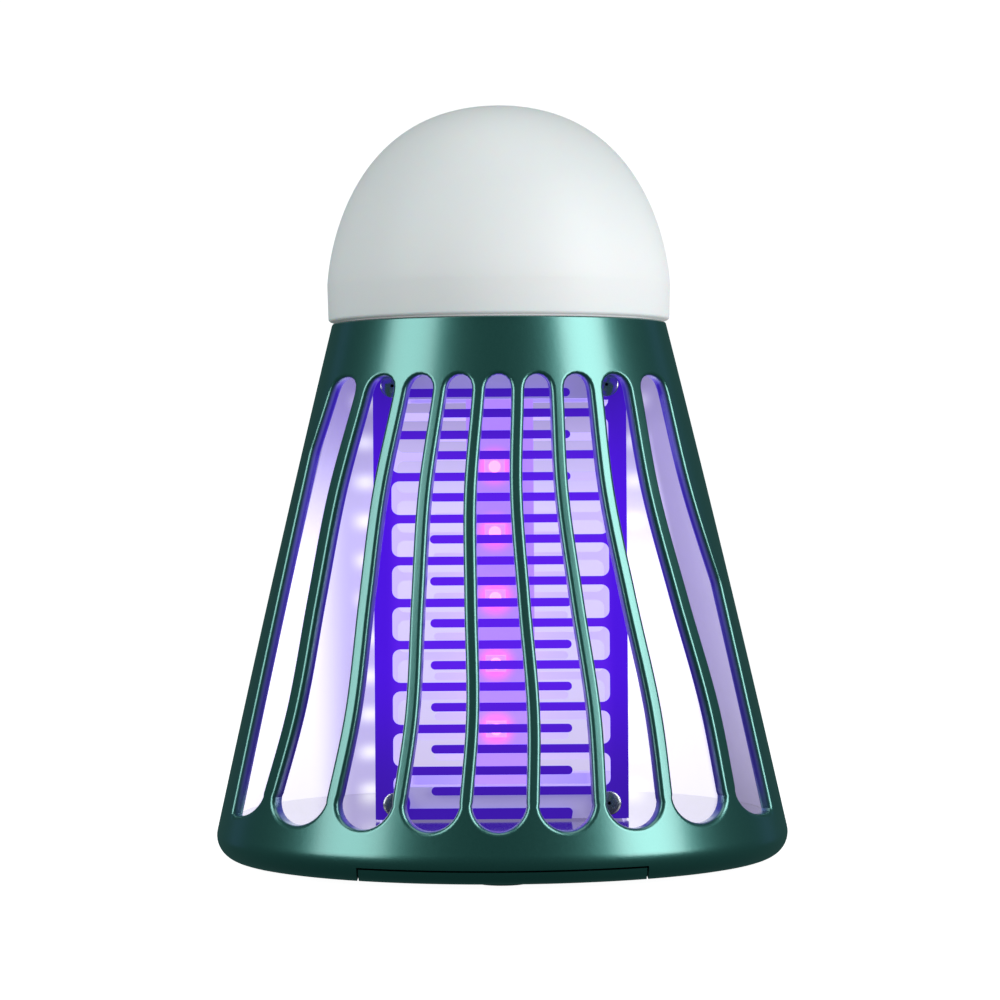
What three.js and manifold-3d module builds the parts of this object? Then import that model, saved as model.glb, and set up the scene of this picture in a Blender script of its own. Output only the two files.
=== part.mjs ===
// Rechargeable bug zapper lantern: a slotted conical cage round a high-voltage grid and an
// ultraviolet lamp board, with an opal lamp dome on top and a fold-out hanging bail in the base.
// Millimetres, +Z up, the front faces -Y, and the feet stand on z = 0.
import * as THREE from 'three';
import { mergeVertices } from 'three/addons/utils/BufferGeometryUtils.js';
import Module from 'manifold-3d';

const wasm = await Module();
wasm.setup();

// Fits
const gap = 0.3;                    // between pieces that touch
const ringGap = 0.45;               // between round pieces that nest

// Cage
const cageFootZ = 0.8;              // underside of the base above the table
const cageHeight = 89.7;
const cageFootRadius = 49.0;        // the cone's radius where it would meet the underside
const cageTopRadius = 28.1;
const wallBulge = 0.3;              // how far the cone's side swells at mid height
const wall = 2.0;
const cornerRadius = 4.0;
const rimLip = 1.0;                 // flat ring inside the rounded bottom corner
const ledgeDrop = 4.9;              // from the cage's top to the ring shelf that carries the deck
const ledgeThickness = 1.4;
const ledgeWidth = 3.1;
const ringSegments = 36;
const toolReach = 6;                // how far a side cutter stands clear of the cage
const over = 1;                     // how far other cutters run past what they cut

// Slots
const slotSill = 1.2;               // from the chamber floor up to the slots' lower ends
const topBand = 9.5;                // plain band above the slots
const slotsPerSide = 9;
const outerRibAngleBottom = THREE.MathUtils.degToRad(54.5);   // of the last whole rib, at the slots' foot
const outerRibAngleTop = THREE.MathUtils.degToRad(46.4);
const slotLimitAngle = THREE.MathUtils.degToRad(71);          // no slot passes this angle
const ribWidth = 2.1;
const slotWave = [[0, -0.6], [0.25, 0.25], [0.5, -0.55], [0.74, -1.1], [1, -0.1]];  // height share, shift

// Lamp dome
const domeOverhang = 0.8;           // past the cage's top edge
const domeFootTaper = 0.15;
const domeWidestRise = 5.85;        // from the dome's foot to its widest ring
const domeHeight = 36.3;
const domeCrownShare = 0.91;        // flatness of the crown
const domeSideHandle = 3.0;         // straightness of the side
const domeWall = 1.6;
const domeSpigotWall = 1.4;
const domeSegments = 32;

// Deck, pedestal and lamp board
const deckThickness = 1.6;
const pedestalClear = 2.4;          // inside the dome's spigot
const pedestalWall = 1.6;
const pedestalHeight = 13.2;
const boardThickness = 1.2;
const lampBoardInset = 3.0;
const lampLedCount = 6;
const lampLedInset = 7.0;           // from the lamp board's edge
const lampLedSize = 5;
const lampLedHeight = 1.1;
const lampLedCorner = 0.8;
const hvBoardClear = 1.8;
const transformerCore = [12, 10];
const windingHalfX = 4.4;
const windingBulge = 2.0;           // past the core at both ends
const transformerSpot = [-6.5, 2];
const capacitorHalf = [2.6, 6.5];
const capacitorSpot = [6.5, 1];

// Grid
const gridHalfDepth = 16.0;         // outer face of the front and rear combs
const gridCornerClear = 1.92;       // from the combs' upper corners to the cage
const combSheet = 0.6;
const combRail = 2.95;
const fingerPitch = 6.9;
const fingerStagger = 3.35;         // drop of the opposite comb's fingers
const fingerHeight = 1.4;
const fingerTipGap = 6.25;          // from a finger's tip to the opposite rail
const fingerDrop = 1.2;             // from the upper screws to the highest finger
const sparkGap = 1.2;               // least height between a finger and the bottom bar
const bottomBarHeight = 1.8;
const lugRadius = 2.5;
const lugInset = 3.2;               // from a corner to its screws
const lugFoot = 0.1;

// Screws
const screwHeadRadius = 2.0;
const screwHeadHeight = 0.9;
const screwShankRadius = 0.9;
const driveRadius = 0.8;
const driveDepth = 0.5;
const combScrewLength = 4.0;
const deckScrewLength = 4.6;
const baseScrewLength = 4.2;

// Holders and ultraviolet board
const holderWall = 4.6;
const holderCorner = 1.0;
const holderTopDrop = 1.3;          // from the ledge's underside to the upper holder's block
const upperHolderHeight = 5.5;
const holderScrewCover = 3.3;       // from the upper screws to the block's top
const lowerHolderCover = 2.7;       // from the lower screws to the lower holder's top
const holderPlate = 1.5;
const holderSpigotClear = 3.6;      // inside the ledge
const deckScrewInset = 5.5;         // from the holder's spigot edge
const boardSeat = 1.0;              // how deep the ultraviolet board sits in each holder
const uvBoardWidth = 11.3;
const uvBoardThickness = 1.6;
const uvLedCount = 5;
const uvLedPitch = 11.05;
const uvLedDrop = 1.9;              // of the middle emitter below the board's middle
const uvLedX = -0.9;
const uvLedSize = [3.5, 1.0, 2.8];
const uvLedCorner = 0.4;

// Reflector
const reflectorSheet = 0.8;
const reflectorFrontAngle = THREE.MathUtils.degToRad(84);   // open sector each side of the front
const reflectorTopDrop = 2.3;       // below the ledge

// Base
const floorThickness = 1.2;
const bayHeight = 4.2;              // between the tray and the chamber floor
const trayThickness = 1.8;
const bossRadius = 2.6;
const bossInset = 4.6;              // from the tray's edge
const bossAngle = THREE.MathUtils.degToRad(30);
const bossRibHalf = 0.9;
const footRadius = 4.2;
const footSink = 0.7;               // how far a foot sits in the tray
const footInset = 7.7;
const batteryThickness = 3.2;
const batteryCorner = 1.5;
const batteryClear = 1.2;           // to the bail's channels
const batteryInset = 6.2;           // from the tray's edge
const batteryBoardGap = 3.0;
const chargeBoardDepth = 18;
const chargeBoardRise = 0.4;        // above the tray
const chargeBoardSheet = 1.0;
const chargeBoardPortGap = 8.5;     // from the board's rear edge to the port's seat

// Charging port and its cover
const portZ = 5.0;
const socketSize = [8.9, 7.3, 3.0];
const socketWall = 0.35;
const tongueHalf = [2.7, 0.35];
const tongueSet = [0.5, 1.2];       // tongue's root and tip inside the shell
const pocketDepth = 1.57;           // of the shallow pocket that the cover fills
const coverHalf = [6.0, 2.0];
const portBlock = [17, 3.4];        // thickening behind the pocket: width and depth

// Buttons
const buttonAngle = THREE.MathUtils.degToRad(24);
const buttonHalf = [3.5, 1.6];
const buttonEar = 0.7;
const buttonProud = 0.6;
const buttonStem = 2.87;            // inside the wall
const buttonTravel = 0.8;
const switchSize = [4.5, 3.4, 2.0];

// Bail
const bailHalfWidth = 22.7;
const bailLeg = 4.5;
const bailThickness = 2.2;
const bailPivotRise = 1.4;          // above the underside
const bailEyeRadius = 1.4;
const pinRadius = 0.6;
const channelCover = 1.2;

// Heights that follow from the sizes above
const cageTopZ = cageFootZ + cageHeight;
const ledgeTopZ = cageTopZ - ledgeDrop;
const trayTopZ = cageFootZ + trayThickness;
const floorFootZ = trayTopZ + bayHeight;
const floorTopZ = floorFootZ + floorThickness;
const slotBottomZ = floorTopZ + slotSill;
const slotTopZ = cageTopZ - topBand;
const bailPivotZ = cageFootZ + bailPivotRise;
const upperHolderTopZ = ledgeTopZ - ledgeThickness - holderTopDrop;
const combScrewTopZ = upperHolderTopZ - holderScrewCover;
const combBottomZ = floorTopZ + gap;
const combScrewBottomZ = combBottomZ + lugRadius + lugFoot;

const finish = (color, roughness, metalness = 0) =>
  new THREE.MeshStandardMaterial({ color, roughness, metalness });
const materials = {
  green: finish(0x1f4a42, 0.35, 0.6),
  opal: finish(0xf2f2f4, 0.45),
  white: finish(0xe6e4ee, 0.5),
  violetSteel: finish(0x5a3fd8, 0.3, 0.8),
  screw: finish(0xd8d8dc, 0.25, 0.9),
  board: finish(0x1d5b34, 0.55),
  whiteBoard: finish(0xece8f6, 0.5),
  emitter: finish(0xf6f0d2, 0.3),
  uvEmitter: finish(0xc86cff, 0.3),
  black: finish(0x16171a, 0.6),
  rubber: finish(0x1b1c1e, 0.85),
  foil: finish(0xb9bcc2, 0.35, 0.7),
  darkGreen: finish(0x163a34, 0.45, 0.4),
};

const group = new THREE.Group();

function closed(geometry) {
  // One indexed mesh with shared vertices, no collapsed triangles and its faces pointing out.
  const bare = geometry.clone();
  bare.deleteAttribute('normal');
  bare.deleteAttribute('uv');
  const merged = mergeVertices(bare, 1e-4);
  const at = merged.getAttribute('position');
  const kept = [];
  let volume = 0;
  const corner = [new THREE.Vector3(), new THREE.Vector3(), new THREE.Vector3()];
  for (let i = 0; i < merged.index.count; i += 3) {
    const [a, b, c] = [0, 1, 2].map((k) => merged.index.getX(i + k));
    if (a === b || b === c || a === c) continue;
    kept.push(a, b, c);
    [a, b, c].forEach((v, k) => corner[k].fromBufferAttribute(at, v));
    volume += corner[0].dot(corner[1].clone().cross(corner[2]));
  }
  if (volume < 0) kept.reverse();
  merged.setIndex(kept);
  return merged;
}

function solid(geometry) {
  const mesh = closed(geometry);
  return new wasm.Manifold(new wasm.Mesh({
    numProp: 3,
    vertProperties: new Float32Array(mesh.getAttribute('position').array),
    triVerts: new Uint32Array(mesh.index.array),
  }));
}

function geometryOf(manifold) {
  const mesh = manifold.getMesh();
  const geometry = new THREE.BufferGeometry();
  geometry.setAttribute('position', new THREE.BufferAttribute(mesh.vertProperties, 3));
  geometry.setIndex(new THREE.BufferAttribute(mesh.triVerts, 1));
  return geometry;
}

const join = (...pieces) => geometryOf(pieces.map(solid).reduce((a, b) => a.add(b)));
const cut = (piece, ...tools) => geometryOf(tools.map(solid).reduce((a, b) => a.subtract(b), solid(piece)));
const common = (...pieces) => geometryOf(pieces.map(solid).reduce((a, b) => a.intersect(b)));

function add(name, geometry, material, position = [0, 0, 0]) {
  const mesh = new THREE.Mesh(closed(geometry), material);
  mesh.name = name;
  mesh.position.set(...position);
  group.add(mesh);
  return mesh;
}

function turned(profile, segments = ringSegments) {
  // A solid of revolution about Z from [radius, height] points.
  const points = profile.map(([r, z]) => new THREE.Vector2(r, z));
  return new THREE.LatheGeometry(points, segments).rotateX(Math.PI / 2);
}

function disc(radius, z0, z1, segments = ringSegments) {
  return turned([[0, z0], [radius, z0], [radius, z1], [0, z1]], segments);
}

function block([x0, x1], [y0, y1], [z0, z1]) {
  return new THREE.BoxGeometry(x1 - x0, y1 - y0, z1 - z0)
    .translate((x0 + x1) / 2, (y0 + y1) / 2, (z0 + z1) / 2);
}

function roundedRect(halfX, halfY, corner) {
  const shape = new THREE.Shape();
  shape.absarc(halfX - corner, halfY - corner, corner, 0, Math.PI / 2);
  shape.absarc(corner - halfX, halfY - corner, corner, Math.PI / 2, Math.PI);
  shape.absarc(corner - halfX, corner - halfY, corner, Math.PI, Math.PI * 1.5);
  shape.absarc(halfX - corner, corner - halfY, corner, Math.PI * 1.5, Math.PI * 2);
  return shape;
}

function prism(shape, z0, z1, curveSegments = 4) {
  return new THREE.ExtrudeGeometry(shape, { depth: z1 - z0, bevelEnabled: false, curveSegments })
    .translate(0, 0, z0);
}

// A pill-shaped bar along +Y whose section is in X and Z, centred on the origin.
function pillAlongY(halfX, halfZ, y0, y1) {
  return prism(roundedRect(halfX, halfZ, halfZ - 0.01), -y1, -y0, 3).rotateX(Math.PI / 2);
}

function rodAlong(axis, radius, from, to, segments = 12) {
  const rod = new THREE.CylinderGeometry(radius, radius, to - from, segments);
  if (axis === 'x') return rod.rotateZ(-Math.PI / 2).translate((from + to) / 2, 0, 0);
  if (axis === 'z') return rod.rotateX(Math.PI / 2).translate(0, 0, (from + to) / 2);
  return rod.translate(0, (from + to) / 2, 0);
}

// ---------------------------------------------------------------- cage surface
function wallRadius(z) {
  const share = (z - cageFootZ) / (cageTopZ - cageFootZ);
  return cageFootRadius + (cageTopRadius - cageFootRadius) * share + wallBulge * 4 * share * (1 - share);
}

const innerRadius = (z) => wallRadius(z) - wall;

function cornerArc() {
  // The rounded bottom corner is tangent to the underside and to the cone.
  const drop = 0.5;
  const slope = (wallRadius(cageFootZ + cornerRadius) - wallRadius(cageFootZ + cornerRadius + drop)) / drop;
  const lean = Math.atan(slope);
  const centreZ = cageFootZ + cornerRadius;
  const centreR = wallRadius(centreZ + cornerRadius * Math.sin(lean)) - cornerRadius * Math.cos(lean);
  return { lean, centreZ, centreR };
}

const corner = cornerArc();

function shellInner(z) {
  // The inside of the cage, its rounded bottom corner included.
  const drop = corner.centreZ - z;
  const radius = cornerRadius - wall;
  return drop > 0 ? corner.centreR + Math.sqrt(Math.max(0, radius ** 2 - drop ** 2)) : innerRadius(z);
}

const openingRadius = corner.centreR - rimLip;
const trayRadius = openingRadius - gap;

function arcPoints(radius, steps) {
  const points = [];
  for (let i = 0; i <= steps; i += 1) {
    const angle = -Math.PI / 2 + (Math.PI / 2 + corner.lean) * (i / steps);
    points.push([corner.centreR + radius * Math.cos(angle), corner.centreZ + radius * Math.sin(angle)]);
  }
  return points;
}

function wallPoints(radiusAt, fromZ, toZ, steps = 2) {
  return Array.from({ length: steps }, (_, i) => {
    const z = fromZ + (toZ - fromZ) * ((i + 1) / steps);
    return [radiusAt(z), z];
  });
}

const outerOutline = () => {
  const arc = arcPoints(cornerRadius, 4);
  return [...arc, ...wallPoints(wallRadius, arc[arc.length - 1][1], cageTopZ)];
};

// The whole body of the cage without its hollow: what lies flush with the outside is cut from it.
const envelope = () => turned([[0, cageFootZ], ...outerOutline(), [0, cageTopZ]]);

function cageShell() {
  const innerArc = arcPoints(cornerRadius - wall, 2);
  const ledgeFootZ = ledgeTopZ - ledgeThickness;
  const ledgeRim = innerRadius(ledgeTopZ) - ledgeWidth;
  const inner = [
    ...innerArc,
    ...wallPoints(innerRadius, innerArc[innerArc.length - 1][1], ledgeFootZ),
    [ledgeRim, ledgeFootZ],
    [ledgeRim, ledgeTopZ],
    [innerRadius(ledgeTopZ), ledgeTopZ],
    [innerRadius(cageTopZ), cageTopZ],
  ];
  const rim = [[openingRadius, cageFootZ + wall], [openingRadius, cageFootZ]];
  return turned([...outerOutline(), ...inner.reverse(), ...rim, [corner.centreR, cageFootZ]]);
}

// ---------------------------------------------------------------- slots
const slotShare = (z) => (z - slotBottomZ) / (slotTopZ - slotBottomZ);
const outerRibAngle = (z) => THREE.MathUtils.lerp(outerRibAngleBottom, outerRibAngleTop, slotShare(z));
const slotPitch = (z) => (wallRadius(z) * Math.sin(outerRibAngle(z))) / (slotsPerSide / 2 - 1);
const slotHalf = (z) => (slotPitch(z) - ribWidth) / 2;
const waveCurve = new THREE.SplineCurve(slotWave.map(([share, shift]) => new THREE.Vector2(share, shift)));

function waveShift(z) {
  const share = THREE.MathUtils.clamp(slotShare(z), 0, 1);
  const spans = slotWave.length - 1;
  const span = Math.min(spans - 1, slotWave.findIndex(([s], i) => i > 0 && share <= s) - 1);
  const local = (share - slotWave[span][0]) / (slotWave[span + 1][0] - slotWave[span][0]);
  return waveCurve.getPoint((span + local) / spans).y;
}

const slotCentre = (index, z) => index * slotPitch(z) + waveShift(z);

function slotOutline(index) {
  // [x, z] points round one slot, seen from the front.
  const endSteps = 4;
  const sideSteps = 5;
  const lowR = slotHalf(slotBottomZ);
  const highR = slotHalf(slotTopZ);
  const lowZ = slotBottomZ + lowR;
  const highZ = slotTopZ - highR;
  const points = [];
  for (let i = 1; i < sideSteps; i += 1) {
    const z = lowZ + (highZ - lowZ) * (i / sideSteps);
    points.push([slotCentre(index, z) + slotHalf(z), z]);
  }
  for (let i = 0; i <= endSteps; i += 1) {
    const angle = Math.PI * (i / endSteps);
    const z = highZ + highR * Math.sin(angle);
    points.push([slotCentre(index, z) + highR * Math.cos(angle), z]);
  }
  for (let i = sideSteps - 1; i > 0; i -= 1) {
    const z = lowZ + (highZ - lowZ) * (i / sideSteps);
    points.push([slotCentre(index, z) - slotHalf(z), z]);
  }
  for (let i = 0; i <= endSteps; i += 1) {
    const angle = Math.PI * (1 + i / endSteps);
    const z = lowZ + lowR * Math.sin(angle);
    points.push([slotCentre(index, z) + lowR * Math.cos(angle), z]);
  }
  return points;
}

function slotTool(index, turn) {
  // The slot's outline wrapped on the cone and cut towards the axis.
  const outline = slotOutline(index);
  const limit = Math.sin(slotLimitAngle);
  const angles = outline.map(([x, z]) =>
    Math.asin(THREE.MathUtils.clamp(x / wallRadius(z), -limit, limit)) - Math.PI / 2 + turn);
  const ring = (margin) => outline.flatMap(([, z], i) => {
    const r = wallRadius(z) + margin;
    return [r * Math.cos(angles[i]), r * Math.sin(angles[i]), z];
  });
  const count = outline.length;
  const flat = outline.map(([x, z]) => new THREE.Vector2(x, z));
  const caps = THREE.ShapeUtils.triangulateShape(flat, []);
  const faces = caps.flatMap(([a, b, c]) => [a, b, c, count + a, count + c, count + b]);
  for (let i = 0; i < count; i += 1) {
    const next = (i + 1) % count;
    faces.push(i, count + i, next, next, count + i, count + next);
  }
  const geometry = new THREE.BufferGeometry();
  const places = [...ring(wall), ...ring(-wall * 2)];
  geometry.setAttribute('position', new THREE.Float32BufferAttribute(places, 3));
  geometry.setIndex(faces);
  return geometry;
}

function slotTools() {
  const reach = (slotsPerSide - 1) / 2;
  const tools = [];
  for (const turn of [0, Math.PI]) {
    for (let index = -reach; index <= reach; index += 1) tools.push(slotTool(index, turn));
  }
  return tools;
}

// ---------------------------------------------------------------- cage
const bossTopZ = floorFootZ - gap;
const bossRing = trayRadius - bossInset;
const bossSpots = [[1, 1], [-1, 1], [-1, -1], [1, -1]].map(([sx, sy]) =>
  [sx * bossRing * Math.cos(bossAngle), sy * bossRing * Math.sin(bossAngle)]);
const bossHoleRadius = screwShankRadius + gap;
const bailNotchTopZ = cageFootZ + bailThickness + gap;
const portSeatY = wallRadius(portZ) - pocketDepth;
const buttonInnerRadius = innerRadius(portZ) - buttonStem;

function boss([x, y]) {
  const footZ = trayTopZ + gap;
  const reach = innerRadius(footZ + wall) + gap - Math.hypot(x, y);
  const rib = block([0, reach], [-bossRibHalf, bossRibHalf], [footZ, bossTopZ]);
  const post = rodAlong('z', bossRadius, footZ, bossTopZ);
  return join(post, rib).rotateZ(Math.atan2(y, x)).translate(x, y, 0);
}

function buttonHole(turn) {
  return pillAlongY(buttonHalf[0] + gap, buttonHalf[1] + gap, openingRadius, cageFootRadius + toolReach)
    .translate(0, 0, portZ).rotateZ(turn);
}

function cage() {
  const bossHoles = bossSpots.map(([x, y]) =>
    rodAlong('z', bossHoleRadius, cageFootZ, bossTopZ + gap).translate(x, y, 0));
  const thickening = block(
    [-portBlock[0] / 2, portBlock[0] / 2],
    [portSeatY - portBlock[1], portSeatY],
    [trayTopZ + gap, bossTopZ],
  );
  const body = join(cageShell(), ...bossSpots.map(boss), thickening);
  const outside = cageFootRadius + toolReach;
  const notch = block(
    [-bailHalfWidth - gap, bailHalfWidth + gap],
    [-outside, -openingRadius * Math.cos(Math.asin((bailHalfWidth + gap) / openingRadius)) + wall],
    [cageFootZ - toolReach, bailNotchTopZ],
  );
  const pocket = pillAlongY(coverHalf[0] + gap, coverHalf[1] + gap, portSeatY, outside)
    .translate(0, 0, portZ);
  const portFrontY = portSeatY - portBlock[1] - over;
  const port = pillAlongY(socketSize[0] / 2 + gap, socketSize[2] / 2 + gap, portFrontY, outside)
    .translate(0, 0, portZ);
  const buttons = [buttonAngle, -buttonAngle].map(buttonHole);
  return cut(body, ...slotTools(), ...bossHoles, notch, pocket, port, ...buttons);
}

add('cage', cage(), materials.green);

// ---------------------------------------------------------------- lamp dome
const domeFootZ = cageTopZ + gap;
const domeRadius = cageTopRadius + domeOverhang;
const domeWidestZ = domeFootZ + domeWidestRise;
const domeTopZ = domeFootZ + domeHeight;
const deckFootZ = ledgeTopZ + gap;
const deckTopZ = deckFootZ + deckThickness;
const spigotRadius = innerRadius(cageTopZ) - gap;
const spigotInner = spigotRadius - domeSpigotWall;

function domeCurve(inset) {
  const radius = domeRadius - inset;
  const top = domeTopZ - inset;
  return new THREE.CubicBezierCurve(
    new THREE.Vector2(0, top),
    new THREE.Vector2(domeCrownShare * radius, top),
    new THREE.Vector2(radius, domeWidestZ + domeSideHandle),
    new THREE.Vector2(radius, domeWidestZ),
  ).getPoints(8).map((p) => [p.x, p.y]);
}

function lampDiffuser() {
  const shoulderZ = domeFootZ + domeWall;
  return turned([
    ...domeCurve(0),
    [domeRadius - domeFootTaper, domeFootZ],
    [spigotRadius, domeFootZ],
    [spigotRadius, deckTopZ + gap],
    [spigotInner, deckTopZ + gap],
    [spigotInner, shoulderZ],
    [domeRadius - domeWall, shoulderZ + domeRadius - domeWall - spigotInner],
    ...domeCurve(domeWall).reverse(),
  ], domeSegments);
}

add('lamp_diffuser', lampDiffuser(), materials.opal);

// ---------------------------------------------------------------- deck, pedestal and lamp
const pedestalFootZ = deckTopZ + gap;
const pedestalTopZ = pedestalFootZ + pedestalHeight;
const pedestalRadius = spigotInner - pedestalClear;
const lampBoardRadius = pedestalRadius - lampBoardInset;
const lampLedRing = lampBoardRadius - lampLedInset;
const hvBoardRadius = pedestalRadius - pedestalWall - hvBoardClear;
const ledgeRadius = innerRadius(ledgeTopZ) - ledgeWidth;
const holderSpigotRadius = ledgeRadius - holderSpigotClear;
const deckScrewRing = holderSpigotRadius - deckScrewInset;
const deckScrewAngles = [0, 1, 2].map((i) => Math.PI / 2 + (i * 2 * Math.PI) / 3);
const deckScrewSpots = deckScrewAngles.map((a) => [deckScrewRing * Math.cos(a), deckScrewRing * Math.sin(a)]);

function screw(length) {
  // Head from z = 0 up, shank down, with a recess in the head.
  return turned([
    [0, -length], [screwShankRadius, -length], [screwShankRadius, 0], [screwHeadRadius, 0],
    [screwHeadRadius, screwHeadHeight], [driveRadius, screwHeadHeight],
    [driveRadius, screwHeadHeight - driveDepth], [0, screwHeadHeight - driveDepth],
  ], 8);
}

const holesAt = (spots, radius, z0, z1) =>
  spots.map(([x, y]) => rodAlong('z', radius, z0, z1, 10).translate(x, y, 0));

add('deck', cut(
  disc(spigotRadius, deckFootZ, deckTopZ),
  ...holesAt(deckScrewSpots, screwShankRadius + gap, deckFootZ - over, deckTopZ + over),
), materials.white);
deckScrewSpots.forEach(([x, y], i) =>
  add(`deck_screw_${i + 1}`, screw(deckScrewLength), materials.screw, [x, y, pedestalFootZ]));

add('lamp_pedestal', turned([
  [0, pedestalTopZ], [pedestalRadius, pedestalTopZ], [pedestalRadius, pedestalFootZ],
  [pedestalRadius - pedestalWall, pedestalFootZ],
  [pedestalRadius - pedestalWall, pedestalTopZ - pedestalWall], [0, pedestalTopZ - pedestalWall],
], domeSegments), materials.white);

const lampBoardZ = pedestalTopZ + gap;
add('lamp_board', disc(lampBoardRadius, lampBoardZ, lampBoardZ + boardThickness, 32), materials.whiteBoard);
const lampLedShape = roundedRect(lampLedSize / 2, lampLedSize / 2, lampLedCorner);
for (let i = 0; i < lampLedCount; i += 1) {
  const angle = (i * 2 * Math.PI) / lampLedCount;
  const led = prism(lampLedShape, 0, lampLedHeight, 1);
  add(`lamp_led_${i + 1}`, led, materials.emitter, [
    lampLedRing * Math.cos(angle), lampLedRing * Math.sin(angle), lampBoardZ + boardThickness + gap,
  ]);
}

// High-voltage board inside the pedestal
const hvBoardZ = pedestalFootZ + screwHeadHeight + gap * 2;
const hvPartZ = hvBoardZ + boardThickness + gap;
const hvPartTop = pedestalTopZ - pedestalWall - gap;
add('hv_board', disc(hvBoardRadius, hvBoardZ, hvBoardZ + boardThickness, 32), materials.board);

function transformer() {
  // A block of ferrite with its winding standing out at both ends.
  const [width, depth] = transformerCore;
  const core = block([-width / 2, width / 2], [-depth / 2, depth / 2], [hvPartZ, hvPartTop - gap]);
  const windingShape = roundedRect(windingHalfX, depth / 2 + windingBulge, windingBulge);
  const winding = prism(windingShape, hvPartZ + windingBulge / 2, hvPartTop - windingBulge, 3);
  return join(core, winding);
}
add('hv_transformer', transformer(), materials.black, [...transformerSpot, 0]);
const capacitorShape = roundedRect(...capacitorHalf, capacitorHalf[0] / 2);
add('hv_capacitor', prism(capacitorShape, hvPartZ, hvPartTop, 3), materials.foil, [...capacitorSpot, 0]);

// ---------------------------------------------------------------- grid holders
const combTopZ = combScrewTopZ + lugRadius;
const gridHalfWidth = Math.sqrt((innerRadius(combTopZ) - gridCornerClear) ** 2 - gridHalfDepth ** 2);
const combScrewX = gridHalfWidth - lugInset;
const upperHolderFootZ = upperHolderTopZ - upperHolderHeight;
const lowerHolderTopZ = combScrewBottomZ + lowerHolderCover;
const holderInset = combSheet + gap;
const holderHalfX = gridHalfWidth - holderInset;
const holderHalfY = gridHalfDepth - holderInset;
const holderShape = roundedRect(holderHalfX, holderHalfY, holderCorner);
const pocketShape = roundedRect(holderHalfX - holderWall, holderHalfY - holderWall, holderCorner);
const seatShape = roundedRect(uvBoardWidth / 2 + gap, uvBoardThickness / 2 + gap, gap);
const lowerHolderFootZ = floorTopZ + gap;
const combScrewHole = screwShankRadius + gap;

function combScrewTools(z) {
  const reach = combScrewLength + gap * 2;
  return [-combScrewX, combScrewX].flatMap((x) => [
    rodAlong('y', combScrewHole, -gridHalfDepth - over, -gridHalfDepth + reach, 10).translate(x, 0, z),
    rodAlong('y', combScrewHole, gridHalfDepth - reach, gridHalfDepth + over, 10).translate(x, 0, z),
  ]);
}

const upperPlateZ = upperHolderTopZ - holderPlate;
add('upper_holder', cut(
  join(prism(holderShape, upperHolderFootZ, upperHolderTopZ, 2),
    disc(holderSpigotRadius, upperHolderTopZ - holderPlate / 2, ledgeTopZ, 32)),
  prism(pocketShape, upperHolderFootZ - over, upperPlateZ, 2),
  prism(seatShape, upperPlateZ - over, upperPlateZ + boardSeat, 2),
  ...combScrewTools(combScrewTopZ),
  ...holesAt(deckScrewSpots, screwShankRadius + gap, pedestalFootZ - deckScrewLength - gap, ledgeTopZ + over),
), materials.white);

const lowerPlateZ = lowerHolderFootZ + holderPlate + boardSeat;
add('lower_holder', cut(
  prism(holderShape, lowerHolderFootZ, lowerHolderTopZ, 2),
  prism(pocketShape, lowerPlateZ, lowerHolderTopZ + over, 2),
  prism(seatShape, lowerPlateZ - boardSeat, lowerPlateZ + over, 2),
  ...combScrewTools(combScrewBottomZ),
), materials.white);

// ---------------------------------------------------------------- combs
const fingerTopZ = combScrewTopZ - fingerDrop;
const bottomBarTopZ = combBottomZ + bottomBarHeight;
const fingerReach = fingerTopZ - fingerStagger - fingerHeight / 2 - sparkGap - bottomBarTopZ;
const fingerCount = Math.floor(fingerReach / fingerPitch) + 1;

function combFlange(width, staggered) {
  // One flat comb: x from 0 at the corner inwards, y is height, thickness along z.
  const inner = combRail;
  const tip = width - combRail - fingerTipGap;
  const half = fingerHeight / 2;
  const drop = staggered ? fingerStagger : 0;
  const shape = new THREE.Shape();
  shape.moveTo(0, combBottomZ);
  shape.lineTo(0, combTopZ);
  shape.lineTo(inner, combTopZ);
  for (let i = 0; i < fingerCount; i += 1) {
    const z = fingerTopZ - drop - i * fingerPitch;
    shape.lineTo(inner, z + half);
    shape.lineTo(tip - half, z + half);
    shape.absarc(tip - half, z, half, Math.PI / 2, -Math.PI / 2, true);
    shape.lineTo(inner, z - half);
  }
  if (staggered) {
    shape.lineTo(inner, combBottomZ);
  } else {
    shape.lineTo(inner, bottomBarTopZ);
    shape.lineTo(tip - half, bottomBarTopZ);
    shape.lineTo(tip, bottomBarTopZ - half);
    shape.lineTo(tip, combBottomZ);
  }
  return prism(shape, 0, combSheet, 2);
}

function comb(staggered) {
  // An angle comb for the front left corner; the other corners are turned or mirrored copies.
  const front = combFlange(gridHalfWidth * 2, staggered)
    .rotateX(Math.PI / 2)
    .translate(-gridHalfWidth, combSheet - gridHalfDepth, 0);
  const side = combFlange(gridHalfDepth * 2, staggered)
    .rotateX(Math.PI / 2)
    .rotateZ(Math.PI / 2)
    .translate(-gridHalfWidth, -gridHalfDepth, 0);
  const lugs = [combScrewTopZ, combScrewBottomZ].map((z) =>
    rodAlong('y', lugRadius, -gridHalfDepth, combSheet - gridHalfDepth, 16).translate(-combScrewX, 0, z));
  const holes = [combScrewTopZ, combScrewBottomZ].map((z) =>
    rodAlong('y', combScrewHole, -gridHalfDepth - over, combSheet - gridHalfDepth + over, 10)
      .translate(-combScrewX, 0, z));
  return cut(join(front, side, ...lugs), ...holes);
}

const mirrored = (geometry) => closed(geometry.clone().scale(-1, 1, 1));
add('comb_front_left', comb(false), materials.violetSteel);
add('comb_front_right', mirrored(comb(true)), materials.violetSteel);
add('comb_rear_right', comb(false).rotateZ(Math.PI), materials.violetSteel);
add('comb_rear_left', mirrored(comb(true)).rotateZ(Math.PI), materials.violetSteel);

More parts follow.
